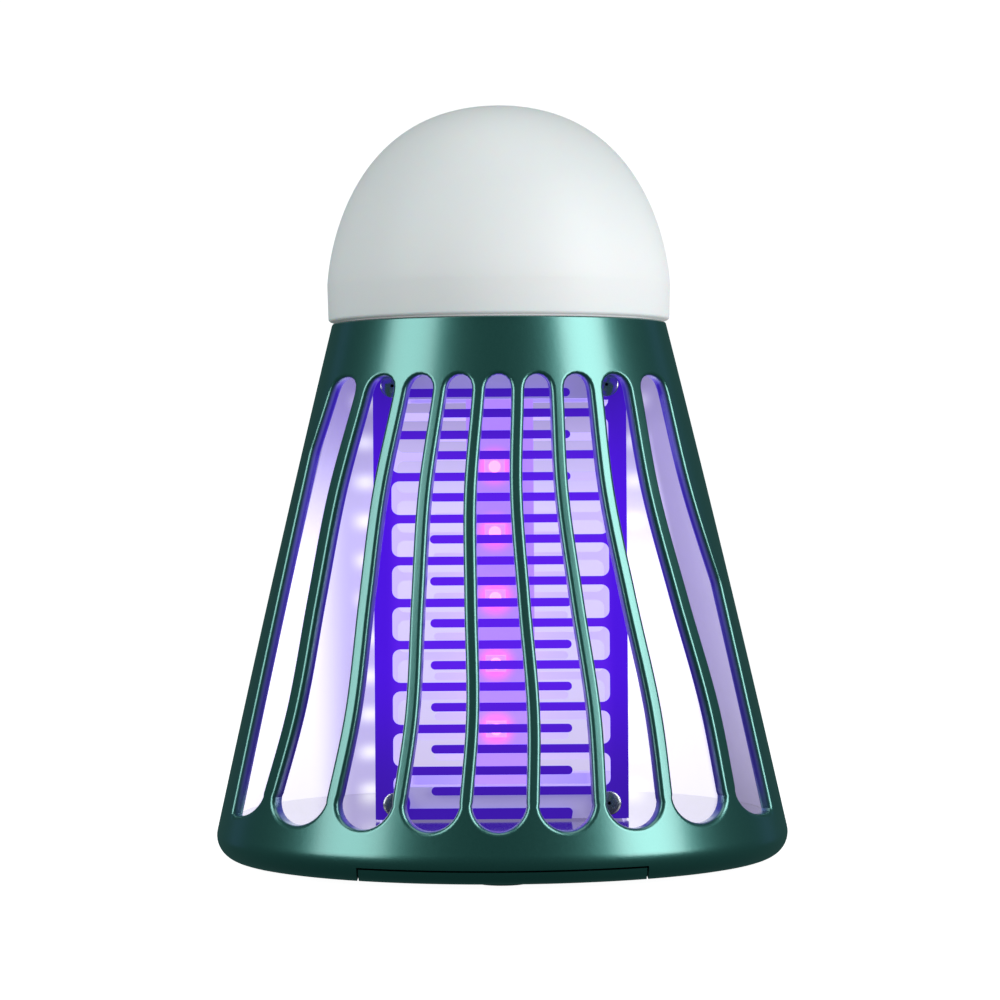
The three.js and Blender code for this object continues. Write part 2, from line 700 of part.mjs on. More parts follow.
for (const [face, turn] of [['front', 0], ['rear', Math.PI]]) {
  for (const [level, z] of [['top', combScrewTopZ], ['bottom', combScrewBottomZ]]) {
    for (const [side, x] of [['left', -combScrewX], ['right', combScrewX]]) {
      const fastener = screw(combScrewLength)
        .rotateX(Math.PI / 2)
        .translate(face === 'front' ? x : -x, -gridHalfDepth - gap, z)
        .rotateZ(turn);
      add(`comb_screw_${face}_${level}_${side}`, fastener, materials.screw);
    }
  }
}

// ---------------------------------------------------------------- ultraviolet board
const uvBoardFootZ = lowerPlateZ - boardSeat + gap;
const uvBoardTopZ = upperPlateZ + boardSeat - gap;
const uvLedMiddleZ = (uvBoardFootZ + uvBoardTopZ) / 2 - uvLedDrop;
const uvFaceY = -uvBoardThickness / 2;
add('uv_board', block(
  [-uvBoardWidth / 2, uvBoardWidth / 2], [uvFaceY, -uvFaceY], [uvBoardFootZ, uvBoardTopZ],
), materials.whiteBoard);
for (let i = 0; i < uvLedCount; i += 1) {
  const z = uvLedMiddleZ + ((uvLedCount - 1) / 2 - i) * uvLedPitch;
  const [width, depth, height] = uvLedSize;
  const led = prism(roundedRect(width / 2, height / 2, uvLedCorner), 0, depth, 1).rotateX(Math.PI / 2);
  add(`uv_led_${i + 1}`, led, materials.uvEmitter, [uvLedX, uvFaceY - gap, z]);
}

// ---------------------------------------------------------------- reflector behind the grid
function reflector() {
  const footZ = floorTopZ + gap;
  const reflectorTopZ = ledgeTopZ - ledgeThickness - reflectorTopDrop;
  const outer = (z) => innerRadius(z) - ringGap;
  const outside = [[outer(footZ), footZ], ...wallPoints(outer, footZ, reflectorTopZ)];
  const inside = outside.map(([r, z]) => [r - reflectorSheet, z]).reverse();
  const sheet = turned([...outside, ...inside, outside[0]], ringSegments);
  const sector = new THREE.Shape();
  sector.moveTo(0, 0);
  for (let i = -3; i <= 3; i += 1) {
    const angle = -Math.PI / 2 + (i / 3) * reflectorFrontAngle;
    const reach = cageFootRadius * 2;
    sector.lineTo(reach * Math.cos(angle), reach * Math.sin(angle));
  }
  return cut(sheet, prism(sector, footZ - over, reflectorTopZ + over));
}
add('reflector', reflector(), materials.white);

// ---------------------------------------------------------------- base
add('chamber_floor', disc(innerRadius(floorTopZ) - ringGap, floorFootZ, floorTopZ), materials.black);

const legX = [bailHalfWidth - bailLeg, bailHalfWidth];
const bothSides = (make) => [make(1), make(-1)];
const spanX = (side, [x0, x1], grow = 0) => (side > 0 ? [x0 - grow, x1 + grow] : [-x1 - grow, -x0 + grow]);
const channelRoofZ = bailPivotZ + bailEyeRadius + gap;
const channelRearY = bailEyeRadius + gap;
const footRing = trayRadius - footInset;
const footSpots = [[footRing, 0], [0, footRing], [-footRing, 0], [0, -footRing]];

function tray() {
  const coverTopZ = channelRoofZ + channelCover;
  const covers = bothSides((side) => block(
    spanX(side, legX, gap + channelCover), [-trayRadius, channelRearY + channelCover], [cageFootZ, coverTopZ],
  ));
  const plate = disc(trayRadius, cageFootZ, trayTopZ);
  const body = common(join(plate, ...covers), disc(trayRadius, cageFootZ, coverTopZ));
  const channels = bothSides((side) => block(
    spanX(side, legX, gap), [-trayRadius - over, channelRearY], [cageFootZ - over, channelRoofZ],
  ));
  const pinHoles = bothSides((side) => {
    const [x0, x1] = spanX(side, legX, gap + channelCover + over);
    return rodAlong('x', pinRadius + gap, x0, x1).translate(0, 0, bailPivotZ);
  });
  const seatTopZ = cageFootZ + screwHeadHeight + gap;
  const headSeats = holesAt(bossSpots, screwHeadRadius + gap, cageFootZ - over, seatTopZ);
  const shanks = holesAt(bossSpots, screwShankRadius + gap, cageFootZ, trayTopZ + over);
  const footSeats = footSpots.map(([x, y]) =>
    rodAlong('z', footRadius + gap, cageFootZ - over, cageFootZ + footSink + gap, 16).translate(x, y, 0));
  return cut(body, ...channels, ...pinHoles, ...headSeats, ...shanks, ...footSeats);
}
add('base_tray', tray(), materials.darkGreen);

bossSpots.forEach(([x, y], i) => {
  const fastener = screw(baseScrewLength).rotateX(Math.PI);
  add(`base_screw_${i + 1}`, fastener, materials.screw, [x, y, cageFootZ + screwHeadHeight]);
});

footSpots.forEach(([x, y], i) => {
  const foot = disc(footRadius, 0, cageFootZ + footSink, 16);
  add(`foot_${i + 1}`, foot, materials.rubber, [x, y, 0]);
});

const switchFaceRadius = buttonInnerRadius - buttonTravel - gap;
const chargeBoardRearY = portSeatY - chargeBoardPortGap;
const chargeBoardFrontY = chargeBoardRearY - chargeBoardDepth;
// Its rear corners stop where the pressed buttons do.
const chargeBoardHalf = (switchFaceRadius - chargeBoardRearY * Math.cos(buttonAngle)) / Math.sin(buttonAngle);
const chargeBoardZ = trayTopZ + chargeBoardRise;

function battery() {
  const halfWidth = legX[0] - gap - channelCover - batteryClear;
  const rearY = chargeBoardFrontY - batteryBoardGap;
  const frontY = -Math.sqrt((trayRadius - batteryInset) ** 2 - halfWidth ** 2);
  const shape = roundedRect(halfWidth, (rearY - frontY) / 2, batteryCorner);
  const footZ = trayTopZ + gap;
  return prism(shape, footZ, footZ + batteryThickness, 3).translate(0, (rearY + frontY) / 2, 0);
}
add('battery', battery(), materials.foil);

function chargeBoard() {
  const z = [chargeBoardZ, chargeBoardZ + chargeBoardSheet];
  const plate = block([-chargeBoardHalf, chargeBoardHalf], [chargeBoardFrontY, chargeBoardRearY], z);
  const socketFrontY = portSeatY - gap - socketSize[1];
  const notch = block(
    [-socketSize[0] / 2 - gap, socketSize[0] / 2 + gap],
    [socketFrontY - gap, chargeBoardRearY + over],
    [chargeBoardZ - over, chargeBoardZ + chargeBoardSheet + over],
  );
  return cut(plate, notch);
}
add('charge_board', chargeBoard(), materials.board);

// Charging socket: a shell round a contact tongue
function socket() {
  const [width, depth, height] = socketSize;
  const rearY = portSeatY - gap;
  const shell = pillAlongY(width / 2, height / 2, rearY - depth, rearY);
  const footY = rearY - depth;
  const mouth = pillAlongY(width / 2 - socketWall, height / 2 - socketWall, footY + over, rearY + over);
  const [tongueX, tongueZ] = tongueHalf;
  const tongueY = [footY + tongueSet[0], rearY - tongueSet[1]];
  const tongue = block([-tongueX, tongueX], tongueY, [-tongueZ, tongueZ]);
  return join(cut(shell, mouth), tongue).translate(0, 0, portZ);
}
add('usb_socket', socket(), materials.screw);

// Cover: lies flush in the pocket over the socket
add('usb_cover', common(
  envelope(),
  pillAlongY(coverHalf[0], coverHalf[1], portSeatY + gap, cageFootRadius + toolReach).translate(0, 0, portZ),
), materials.rubber);

// Buttons: pill caps with ears that stop them inside the wall
function button(turn) {
  const face = wallRadius(portZ) + buttonProud;
  const innerFace = shellInner(portZ - buttonHalf[1]) - gap;
  const cap = pillAlongY(buttonHalf[0], buttonHalf[1], buttonInnerRadius, face);
  const curved = innerFace * (1 - Math.cos(Math.asin((buttonHalf[0] + buttonEar) / innerFace)));
  const earFace = innerFace - curved - gap;
  const ears = pillAlongY(buttonHalf[0] + buttonEar, buttonHalf[1], buttonInnerRadius, earFace);
  return join(cap, ears).translate(0, 0, portZ).rotateZ(turn);
}
add('zapper_button', button(buttonAngle), materials.rubber);
add('lamp_button', button(-buttonAngle), materials.rubber);

function sideSwitch(turn) {
  const [width, depth, height] = switchSize;
  const z = chargeBoardZ + chargeBoardSheet + gap;
  return block([-width / 2, width / 2], [switchFaceRadius - depth, switchFaceRadius], [z, z + height])
    .rotateZ(turn);
}
add('zapper_switch', sideSwitch(buttonAngle), materials.foil);
add('lamp_switch', sideSwitch(-buttonAngle), materials.foil);

// ---------------------------------------------------------------- hanging bail
function bail() {
  const footZ = cageFootZ - over;
  const topZ = cageFootZ + bailThickness;
  const barInner = openingRadius;
  const outside = cageFootRadius + over;
  const bar = common(
    turned([[barInner, footZ], [outside, footZ], [outside, topZ], [barInner, topZ], [barInner, footZ]]),
    block([-bailHalfWidth, bailHalfWidth], [-outside, 0], [footZ - over, topZ + over]),
  );
  const barEndY = -Math.sqrt(barInner ** 2 - bailHalfWidth ** 2);
  const legs = bothSides((side) => block(spanX(side, legX), [barEndY - bailLeg, 0], [cageFootZ, topZ]));
  const flat = common(join(bar, ...legs), envelope());
  const eyes = bothSides((side) => {
    const [x0, x1] = spanX(side, legX);
    return rodAlong('x', bailEyeRadius, x0, x1, 16).translate(0, 0, bailPivotZ);
  });
  const holes = bothSides((side) => {
    const [x0, x1] = spanX(side, legX, over);
    return rodAlong('x', pinRadius + gap, x0, x1).translate(0, 0, bailPivotZ);
  });
  return cut(join(flat, ...eyes), ...holes);
}
add('bail', bail(), materials.green);

for (const [side, sign] of [['right', 1], ['left', -1]]) {
  const [x0, x1] = spanX(sign, legX, channelCover);
  add(`bail_pin_${side}`, rodAlong('x', pinRadius, x0, x1), materials.screw, [0, 0, bailPivotZ]);
}

export default group;
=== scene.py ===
"""Looks for the rechargeable bug zapper lantern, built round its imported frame.

Sizes are millimetres until a mesh is made; Blender's objects are in metres.
"""

import logging
import math
from dataclasses import dataclass, field
from enum import Enum
from typing import Callable, Iterable, Optional, Sequence

import bmesh
import bpy
import numpy as np
from mathutils import Matrix, Vector
from mathutils.geometry import delaunay_2d_cdt

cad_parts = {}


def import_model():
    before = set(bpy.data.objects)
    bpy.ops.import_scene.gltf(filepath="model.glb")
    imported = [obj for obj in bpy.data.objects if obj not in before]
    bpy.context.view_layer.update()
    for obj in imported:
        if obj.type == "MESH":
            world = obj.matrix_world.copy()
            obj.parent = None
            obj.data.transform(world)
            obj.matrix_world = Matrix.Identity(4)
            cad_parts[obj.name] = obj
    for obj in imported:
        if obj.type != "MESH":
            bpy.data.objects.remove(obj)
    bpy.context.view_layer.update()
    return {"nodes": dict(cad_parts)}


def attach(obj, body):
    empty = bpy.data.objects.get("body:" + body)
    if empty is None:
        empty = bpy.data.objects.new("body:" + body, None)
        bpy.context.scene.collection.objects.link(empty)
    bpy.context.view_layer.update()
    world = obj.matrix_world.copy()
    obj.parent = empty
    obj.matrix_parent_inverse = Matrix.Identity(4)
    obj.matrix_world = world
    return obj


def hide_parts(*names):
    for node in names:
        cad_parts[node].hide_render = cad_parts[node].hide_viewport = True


logging.basicConfig(level=logging.INFO, format="%(name)s: %(message)s")
LOG = logging.getLogger("lantern")

MM = 0.001
Point = tuple[float, float]
Points3 = np.ndarray


class Body(Enum):
    """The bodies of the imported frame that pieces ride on."""

    ROOT = "root"
    BAIL = "bail"
    COVER = "usb_cover"
    ZAPPER = "zapper_button"
    LAMP = "lamp_button"


# ------------------------------------------------------------------ finishes
FINISHED: dict[str, bpy.types.Material] = {}


def once(name: str, make: Callable[[], bpy.types.Material]) -> bpy.types.Material:
    """Make a material the first time that it is asked for.

    Args:
        name: Its name.
        make: What builds it.

    Returns:
        The material.
    """
    if name not in FINISHED:
        FINISHED[name] = make()
    return FINISHED[name]


class Look:
    """A finish, whose material is built the first time that it is asked for."""

    name: str

    def material(self) -> bpy.types.Material:
        """Give the finish's material."""
        return once(self.name, self._build)

    def _build(self) -> bpy.types.Material:
        """Build the node material."""
        raise NotImplementedError


@dataclass(frozen=True)
class Finish(Look):
    """A moulded, painted or plated surface with fine unevenness.

    Colours are linear RGB. ``grain`` is the bump's height and ``grain_scale`` how many
    grains there are in a metre.
    """

    name: str
    colour: tuple[float, float, float]
    second: tuple[float, float, float]
    roughness: float = 0.4
    metallic: float = 0.0
    coat: float = 0.0
    grain: float = 0.08
    grain_scale: float = 900.0
    blotch_scale: float = 60.0
    subsurface: float = 0.0
    glow: float = 0.0
    glow_colour: tuple[float, float, float] = (1.0, 1.0, 1.0)

    def _build(self) -> bpy.types.Material:
        """Drive colour, roughness and bump by noise in object space."""
        shader = Shader(self.name)
        blotch = shader.noise(self.blotch_scale, 3.0)
        colour = shader.mix(blotch, self.colour, self.second)
        shader.link(colour, shader.bsdf.inputs["Base Color"])
        spread = shader.math("MULTIPLY_ADD", blotch, 0.12, self.roughness - 0.06)
        shader.link(spread, shader.bsdf.inputs["Roughness"])
        shader.constant("Metallic", self.metallic)
        shader.constant("Coat Weight", self.coat)
        shader.constant("Coat Roughness", 0.12)
        shader.constant("Subsurface Weight", self.subsurface)
        shader.constant("Subsurface Scale", 0.004)
        shader.constant("Emission Strength", self.glow)
        shader.bsdf.inputs["Emission Color"].default_value = (*self.glow_colour, 1.0)
        shader.bump(self.grain_scale, self.grain)
        return shader.material


class Shader:
    """A node tree being built round one Principled shader."""

    def __init__(self, name: str) -> None:
        """Start the material.

        Args:
            name: The material's name.
        """
        self.material = bpy.data.materials.new(f"{name}_finish")
        self.material.use_nodes = True
        self.tree = self.material.node_tree
        self.bsdf = self.tree.nodes["Principled BSDF"]
        self.coords = self.tree.nodes.new("ShaderNodeTexCoord").outputs["Object"]

    def link(self, source: bpy.types.NodeSocket, target: bpy.types.NodeSocket) -> None:
        """Join two sockets."""
        self.tree.links.new(source, target)

    def constant(self, socket: str, value: float) -> None:
        """Set one of the shader's own sockets."""
        self.bsdf.inputs[socket].default_value = value

    def _feed(self, socket: bpy.types.NodeSocket, value: object) -> None:
        """Link a socket or set a number on it."""
        if isinstance(value, bpy.types.NodeSocket):
            self.link(value, socket)
        else:
            socket.default_value = value

    def math(self, operation: str, *values: object, clamp: bool = False) -> bpy.types.NodeSocket:
        """Add a Math node.

        Args:
            operation: The Math node's operation.
            *values: Its inputs, as sockets or numbers.
            clamp: Whether the result is held between 0 and 1.

        Returns:
            The result's socket.
        """
        node = self.tree.nodes.new("ShaderNodeMath")
        node.operation = operation
        node.use_clamp = clamp
        for socket, value in zip(node.inputs, values):
            self._feed(socket, value)
        return node.outputs[0]

    def noise(self, scale: float, detail: float = 2.0) -> bpy.types.NodeSocket:
        """Add a noise texture in object space.

        Args:
            scale: How fine it is, per metre.
            detail: Its octaves.

        Returns:
            The noise's value.
        """
        node = self.tree.nodes.new("ShaderNodeTexNoise")
        self.link(self.coords, node.inputs["Vector"])
        node.inputs["Scale"].default_value = scale
        node.inputs["Detail"].default_value = detail
        return node.outputs["Fac"]

    def mix(self, share: object, first: object, second: object) -> bpy.types.NodeSocket:
        """Mix two colours.

        Args:
            share: How much of the second colour there is.
            first: A colour or socket.
            second: A colour or socket.

        Returns:
            The mixed colour's socket.
        """
        node = self.tree.nodes.new("ShaderNodeMix")
        node.data_type = "RGBA"
        self._feed(node.inputs["Factor"], share)
        for socket, value in ((node.inputs[6], first), (node.inputs[7], second)):
            if isinstance(value, bpy.types.NodeSocket):
                self.link(value, socket)
            else:
                socket.default_value = (*value, 1.0)
        return node.outputs[2]

    def ramp(self, value: bpy.types.NodeSocket, low: float, high: float) -> bpy.types.NodeSocket:
        """Map a value smoothly from 0 at ``low`` to 1 at ``high``.

        Args:
            value: What is mapped.
            low: Where the result is 0.
            high: Where the result is 1.

        Returns:
            The mapped value's socket.
        """
        node = self.tree.nodes.new("ShaderNodeMapRange")
        node.interpolation_type = "SMOOTHSTEP"
        self.link(value, node.inputs["Value"])
        node.inputs["From Min"].default_value = low
        node.inputs["From Max"].default_value = high
        return node.outputs["Result"]

    def axes(self) -> tuple[bpy.types.NodeSocket, ...]:
        """Split the object coordinates.

        Returns:
            The sockets of X, Y and Z, in metres.
        """
        node = self.tree.nodes.new("ShaderNodeSeparateXYZ")
        self.link(self.coords, node.inputs[0])
        return tuple(node.outputs)

    def ring_radius(self) -> bpy.types.NodeSocket:
        """The distance from the lantern's axis, in metres."""
        x, y, _ = self.axes()
        return self.math("SQRT", self.math("ADD", self.math("MULTIPLY", x, x), self.math("MULTIPLY", y, y)))

    def bump(self, scale: float, height: float) -> None:
        """Give the surface a fine grain.

        Args:
            scale: Grains per metre.
            height: The bump's strength.
        """
        node = self.tree.nodes.new("ShaderNodeBump")
        node.inputs["Strength"].default_value = height
        node.inputs["Distance"].default_value = 0.0002
        self.link(self.noise(scale, 4.0), node.inputs["Height"])
        self.link(node.outputs["Normal"], self.bsdf.inputs["Normal"])


# ------------------------------------------------------------------ the cage's surface
@dataclass(frozen=True)
class ConeWall:
    """The slightly swelling cone that the cage, base and bail share."""

    foot_z: float = 0.8
    height: float = 89.7
    foot_radius: float = 49.0
    top_radius: float = 28.1
    bulge: float = 0.3
    wall: float = 2.0
    corner: float = 4.0
    lip: float = 1.0

    def radius(self, z: np.ndarray) -> np.ndarray:
        """The outer radius of the cone at a height."""
        share = (np.asarray(z, float) - self.foot_z) / self.height
        return (self.foot_radius + (self.top_radius - self.foot_radius) * share
                + self.bulge * 4 * share * (1 - share))

    @property
    def lean(self) -> float:
        """The cone's angle from upright above the rounded bottom corner."""
        foot = self.foot_z + self.corner
        return math.atan(float(self.radius(foot) - self.radius(foot + 0.5)) / 0.5)

    @property
    def centre_z(self) -> float:
        """The height of the bottom corner's centre."""
        return self.foot_z + self.corner

    @property
    def centre_r(self) -> float:
        """The radius of the bottom corner's centre."""
        touch = self.centre_z + self.corner * math.sin(self.lean)
        return float(self.radius(touch)) - self.corner * math.cos(self.lean)

    @property
    def opening(self) -> float:
        """The radius of the opening in the underside."""
        return self.centre_r - self.lip

    def skin(self, z: np.ndarray, depth: float = 0.0) -> np.ndarray:
        """The radius of the shell's skin.

        Args:
            z: Heights.
            depth: 0 for the outer skin, or the wall's thickness for the inner one.

        Returns:
            The radii, with the rounded bottom corner.
        """
        z = np.asarray(z, float)
        arc = self.corner - depth
        touch = self.centre_z + arc * math.sin(self.lean)
        round_part = self.centre_r + np.sqrt(np.maximum(0.0, arc ** 2 - (z - self.centre_z) ** 2))
        return np.where(z < touch, round_part, self.radius(z) - depth)

    def slope_normal(self, points: Points3, depth: float) -> Points3:
        """Exact outward normals of a skin.

        Args:
            points: Places on the skin, in millimetres.
            depth: Which skin.

        Returns:
            Unit normals away from the axis.
        """
        r = np.hypot(points[:, 0], points[:, 1])
        z = points[:, 2]
        arc = self.corner - depth
        touch = self.centre_z + arc * math.sin(self.lean)
        slope = (self.radius(z - 0.05) - self.radius(z + 0.05)) / 0.1
        length = np.hypot(1.0, slope)
        nr = np.where(z < touch, (r - self.centre_r) / arc, 1 / length)
        nz = np.where(z < touch, (z - self.centre_z) / arc, slope / length)
        scale = nr / np.maximum(r, 1e-9)
        return np.column_stack([points[:, 0] * scale, points[:, 1] * scale, nz])


# ------------------------------------------------------------------ mesh helpers
def mesh_piece(name: str, points: Points3, faces: Sequence[Sequence[int]], merge: float = 2e-4) -> bpy.types.Object:
    """Make a closed mesh object from places in millimetres.

    Args:
        name: The object's name.
        points: Places, in millimetres.
        faces: Indices of each face's corners.
        merge: Places nearer than this are joined, in millimetres.

    Returns:
        The object, linked, with its faces pointing out.
    """
    mesh = bpy.data.meshes.new(name)
    mesh.from_pydata((np.asarray(points) * MM).tolist(), [], [list(map(int, f)) for f in faces])
    bm = bmesh.new()
    bm.from_mesh(mesh)
    bmesh.ops.remove_doubles(bm, verts=bm.verts, dist=merge * MM)
    bmesh.ops.recalc_face_normals(bm, faces=bm.faces)
    bm.to_mesh(mesh)
    bm.free()
    piece = bpy.data.objects.new(name, mesh)
    bpy.context.scene.collection.objects.link(piece)
    return piece


def smooth(piece: bpy.types.Object, angle: float = 32.0) -> bpy.types.Object:
    """Shade smoothly except across edges sharper than an angle in degrees."""
    piece.data.shade_smooth()
    piece.data.set_sharp_from_angle(angle=math.radians(angle))
    return piece


def settled(piece: bpy.types.Object) -> bpy.types.Object:
    """Turn a piece's modifiers into plain mesh.

    Args:
        piece: The object with its modifiers.

    Returns:
        The same object, without modifiers.
    """
    graph = bpy.context.evaluated_depsgraph_get()
    mesh = bpy.data.meshes.new_from_object(piece.evaluated_get(graph), depsgraph=graph)
    piece.modifiers.clear()
    piece.data = mesh
    return piece


def cut_with(piece: bpy.types.Object, tools: Iterable[bpy.types.Object], how: str = "DIFFERENCE") -> bpy.types.Object:
    """Cut, join or meet a piece with others, which are used up.

    Args:
        piece: The object that is changed.
        tools: The other objects.
        how: The boolean's operation.

    Returns:
        The changed object.
    """
    for tool in tools:
        step = piece.modifiers.new("cut", "BOOLEAN")
        step.operation = how
        step.solver = "MANIFOLD"
        step.object = tool
        settled(piece)
        bpy.data.objects.remove(tool)
    return piece


def bevelled(piece: bpy.types.Object, width: float, segments: int = 2, angle: float = 35.0) -> bpy.types.Object:
    """Round a piece's edges.

    Args:
        piece: The object.
        width: The bevel's width, in millimetres.
        segments: Its steps.
        angle: Edges sharper than this, in degrees, are rounded.

    Returns:
        The same object.
    """
    step = piece.modifiers.new("edge", "BEVEL")
    step.width = width * MM
    step.segments = segments
    step.limit_method = "ANGLE"
    step.angle_limit = math.radians(angle)
    step.harden_normals = False
    return settled(piece)


def around(profile: np.ndarray, bearings: np.ndarray) -> np.ndarray:
    """Repeat a section at several bearings round the lantern's axis.

    Args:
        profile: Rows of radius and height.
        bearings: Angles in radians, from the front towards +X.

    Returns:
        Places by bearing and row.
    """
    points = np.empty((len(bearings), len(profile), 3))
    points[:, :, 0] = np.sin(bearings)[:, None] * profile[None, :, 0]
    points[:, :, 1] = -np.cos(bearings)[:, None] * profile[None, :, 0]
    points[:, :, 2] = profile[None, :, 1]
    return points


def turned(name: str, profile: Sequence[Point], segments: int = 160,
           span: tuple[float, float] = (0.0, 360.0)) -> bpy.types.Object:
    """A solid of revolution about the lantern's axis.

    Args:
        name: The object's name.
        profile: A closed ring of [radius, height] points; its last joins its first.
        segments: Steps round the axis.
        span: First and last angle in degrees, from the front towards +X.

    Returns:
        The object.
    """
    whole = span[1] - span[0] >= 360.0
    angles = np.radians(np.linspace(span[0], span[1], segments + 1))
    if whole:
        angles = angles[:-1]
    ring = np.array(profile, float)
    n, m = len(ring), len(angles)
    faces: list[Sequence[int]] = []
    for i in range(m if whole else m - 1):
        a, b = i * n, ((i + 1) % m) * n
        faces += [(a + j, b + j, b + (j + 1) % n, a + (j + 1) % n) for j in range(n)]
    if not whole:
        faces += [tuple(range(n)), tuple(range((m - 1) * n, m * n))]
    return mesh_piece(name, around(ring, angles).reshape(-1, 3), faces)


def arc(cx: float, cy: float, r: float, start: float, stop: float, steps: int = 6) -> list[Point]:
    """Points of a circular arc, with its angles in degrees."""
    return [(cx + r * math.cos(t), cy + r * math.sin(t))
            for t in np.radians(np.linspace(start, stop, steps + 1))]


def pill(half_x: float, half_y: float, steps: int = 10) -> list[Point]:
    """The outline of a bar with round ends, longer in X."""
    reach = half_x - half_y
    return arc(reach, 0, half_y, -90, 90, steps) + arc(-reach, 0, half_y, 90, 270, steps)


def rounded(half_x: float, half_y: float, r: float, steps: int = 5) -> list[Point]:
    """The outline of a rectangle with round corners."""
    return (arc(half_x - r, half_y - r, r, 0, 90, steps) + arc(r - half_x, half_y - r, r, 90, 180, steps)
            + arc(r - half_x, r - half_y, r, 180, 270, steps) + arc(half_x - r, r - half_y, r, 270, 360, steps))


def plate(name: str, outlines: Sequence[Sequence[Point]], low: float, high: float,
          place: Optional[Matrix] = None) -> bpy.types.Object:
    """Extrude the union of flat outlines along +Z.

    Args:
        name: The object's name.
        outlines: Closed outlines, which may overlap, in millimetres.
        low: The plate's foot.
        high: The plate's top.
        place: Where the plate goes, in millimetres.

    Returns:
        The object.
    """
    flat: list[Vector] = []
    loops: list[list[int]] = []
    for outline in outlines:
        area = sum(a[0] * b[1] - b[0] * a[1] for a, b in zip(outline, list(outline[1:]) + [outline[0]]))
        ring = list(outline) if area > 0 else list(reversed(outline))
        loops.append(list(range(len(flat), len(flat) + len(ring))))
        flat += [Vector(p) for p in ring]
    verts, _, faces, *_ = delaunay_2d_cdt(flat, [], loops, 1, 1e-5)
    sides: dict[tuple[int, int], int] = {}
    for a, b, c in faces:
        for edge in ((a, b), (b, c), (c, a)):
            sides[edge] = sides.get(edge, 0) + 1
    n = len(verts)
    points = [(v[0], v[1], low) for v in verts] + [(v[0], v[1], high) for v in verts]
    out: list[Sequence[int]] = [tuple(f) for f in faces] + [tuple(i + n for i in reversed(f)) for f in faces]
    out += [(a, b, b + n, a + n) for a, b in sides if (b, a) not in sides]
    array = np.array(points, float)
    if place is not None:
        m = np.array(place)
        array = array @ m[:3, :3].T + m[:3, 3]
    return mesh_piece(name, array, out)


def facing(turn: float, z: float) -> Matrix:
    """A place whose local +Z points out from the axis at a bearing from the rear.

    Args:
        turn: The bearing in degrees, from +Y towards -X.
        z: The height.

    Returns:
        The matrix, which keeps local X level and local Y upright.
    """
    return Matrix.Translation((0, 0, z)) @ Matrix.Rotation(math.radians(turn), 4, "Z") @ Matrix(
        ((1, 0, 0, 0), (0, 0, 1, 0), (0, 1, 0, 0), (0, 0, 0, 1)))


def joined(name: str, pieces: Sequence[bpy.types.Object]) -> bpy.types.Object:
    """Gather several meshes in one object.

    Args:
        name: The new object's name.
        pieces: The objects, which are used up.

    Returns:
        The object.
    """
    bm = bmesh.new()
    for piece in pieces:
        bm.from_mesh(piece.data)
    mesh = bpy.data.meshes.new(name)
    bm.to_mesh(mesh)
    bm.free()
    for piece in pieces:
        bpy.data.objects.remove(piece)
    whole = bpy.data.objects.new(name, mesh)
    bpy.context.scene.collection.objects.link(whole)
    return whole


def true_normals(piece: bpy.types.Object, cone: ConeWall) -> None:
    """Give the parts of a mesh that lie on the cone's skins their exact normals.

    Args:
        piece: The object, already shaded smoothly.
        cone: The cone.
    """
    mesh = piece.data
    count = len(mesh.loops)
    co = np.empty(len(mesh.vertices) * 3, np.float32)
    mesh.vertices.foreach_get("co", co)
    at = np.empty(count, np.int32)
    mesh.loops.foreach_get("vertex_index", at)
    points = co.reshape(-1, 3)[at] / MM
    normals = np.empty(count * 3, np.float32)
    mesh.corner_normals.foreach_get("vector", normals)
    normals = normals.reshape(-1, 3).astype(float)
    face = np.empty(len(mesh.polygons) * 3, np.float32)
    mesh.polygons.foreach_get("normal", face)
    size = np.empty(len(mesh.polygons), np.int32)
    mesh.polygons.foreach_get("loop_total", size)
    flat = np.repeat(face.reshape(-1, 3), size, axis=0)
    r = np.hypot(points[:, 0], points[:, 1])
    for depth, sign in ((0.0, 1.0), (cone.wall, -1.0)):
        exact = cone.slope_normal(points, depth) * sign
        on = (np.abs(r - cone.skin(points[:, 2], depth)) < 2e-3) & ((flat * exact).sum(1) > 0.9)
        normals[on] = exact[on]
    mesh.normals_split_custom_set(normals.tolist())


def dress(piece: bpy.types.Object, material: bpy.types.Material, body: Body, slot: str,
          *nodes: str) -> bpy.types.Object:
    """Give a finished piece its material, its body and the nodes it stands for.

    Args:
        piece: The object.
        material: Its material.
        body: The body that it rides on.
        slot: The record's material slot; not used.
        *nodes: The frame's nodes that it replaces.

    Returns:
        The same object.
    """
    piece.data.materials.clear()
    piece.data.materials.append(material)
    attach(piece, body.value)
    if nodes:
        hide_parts(*nodes)
    LOG.info("%s: %d faces on %s", piece.name, len(piece.data.polygons), body.value)
    return piece


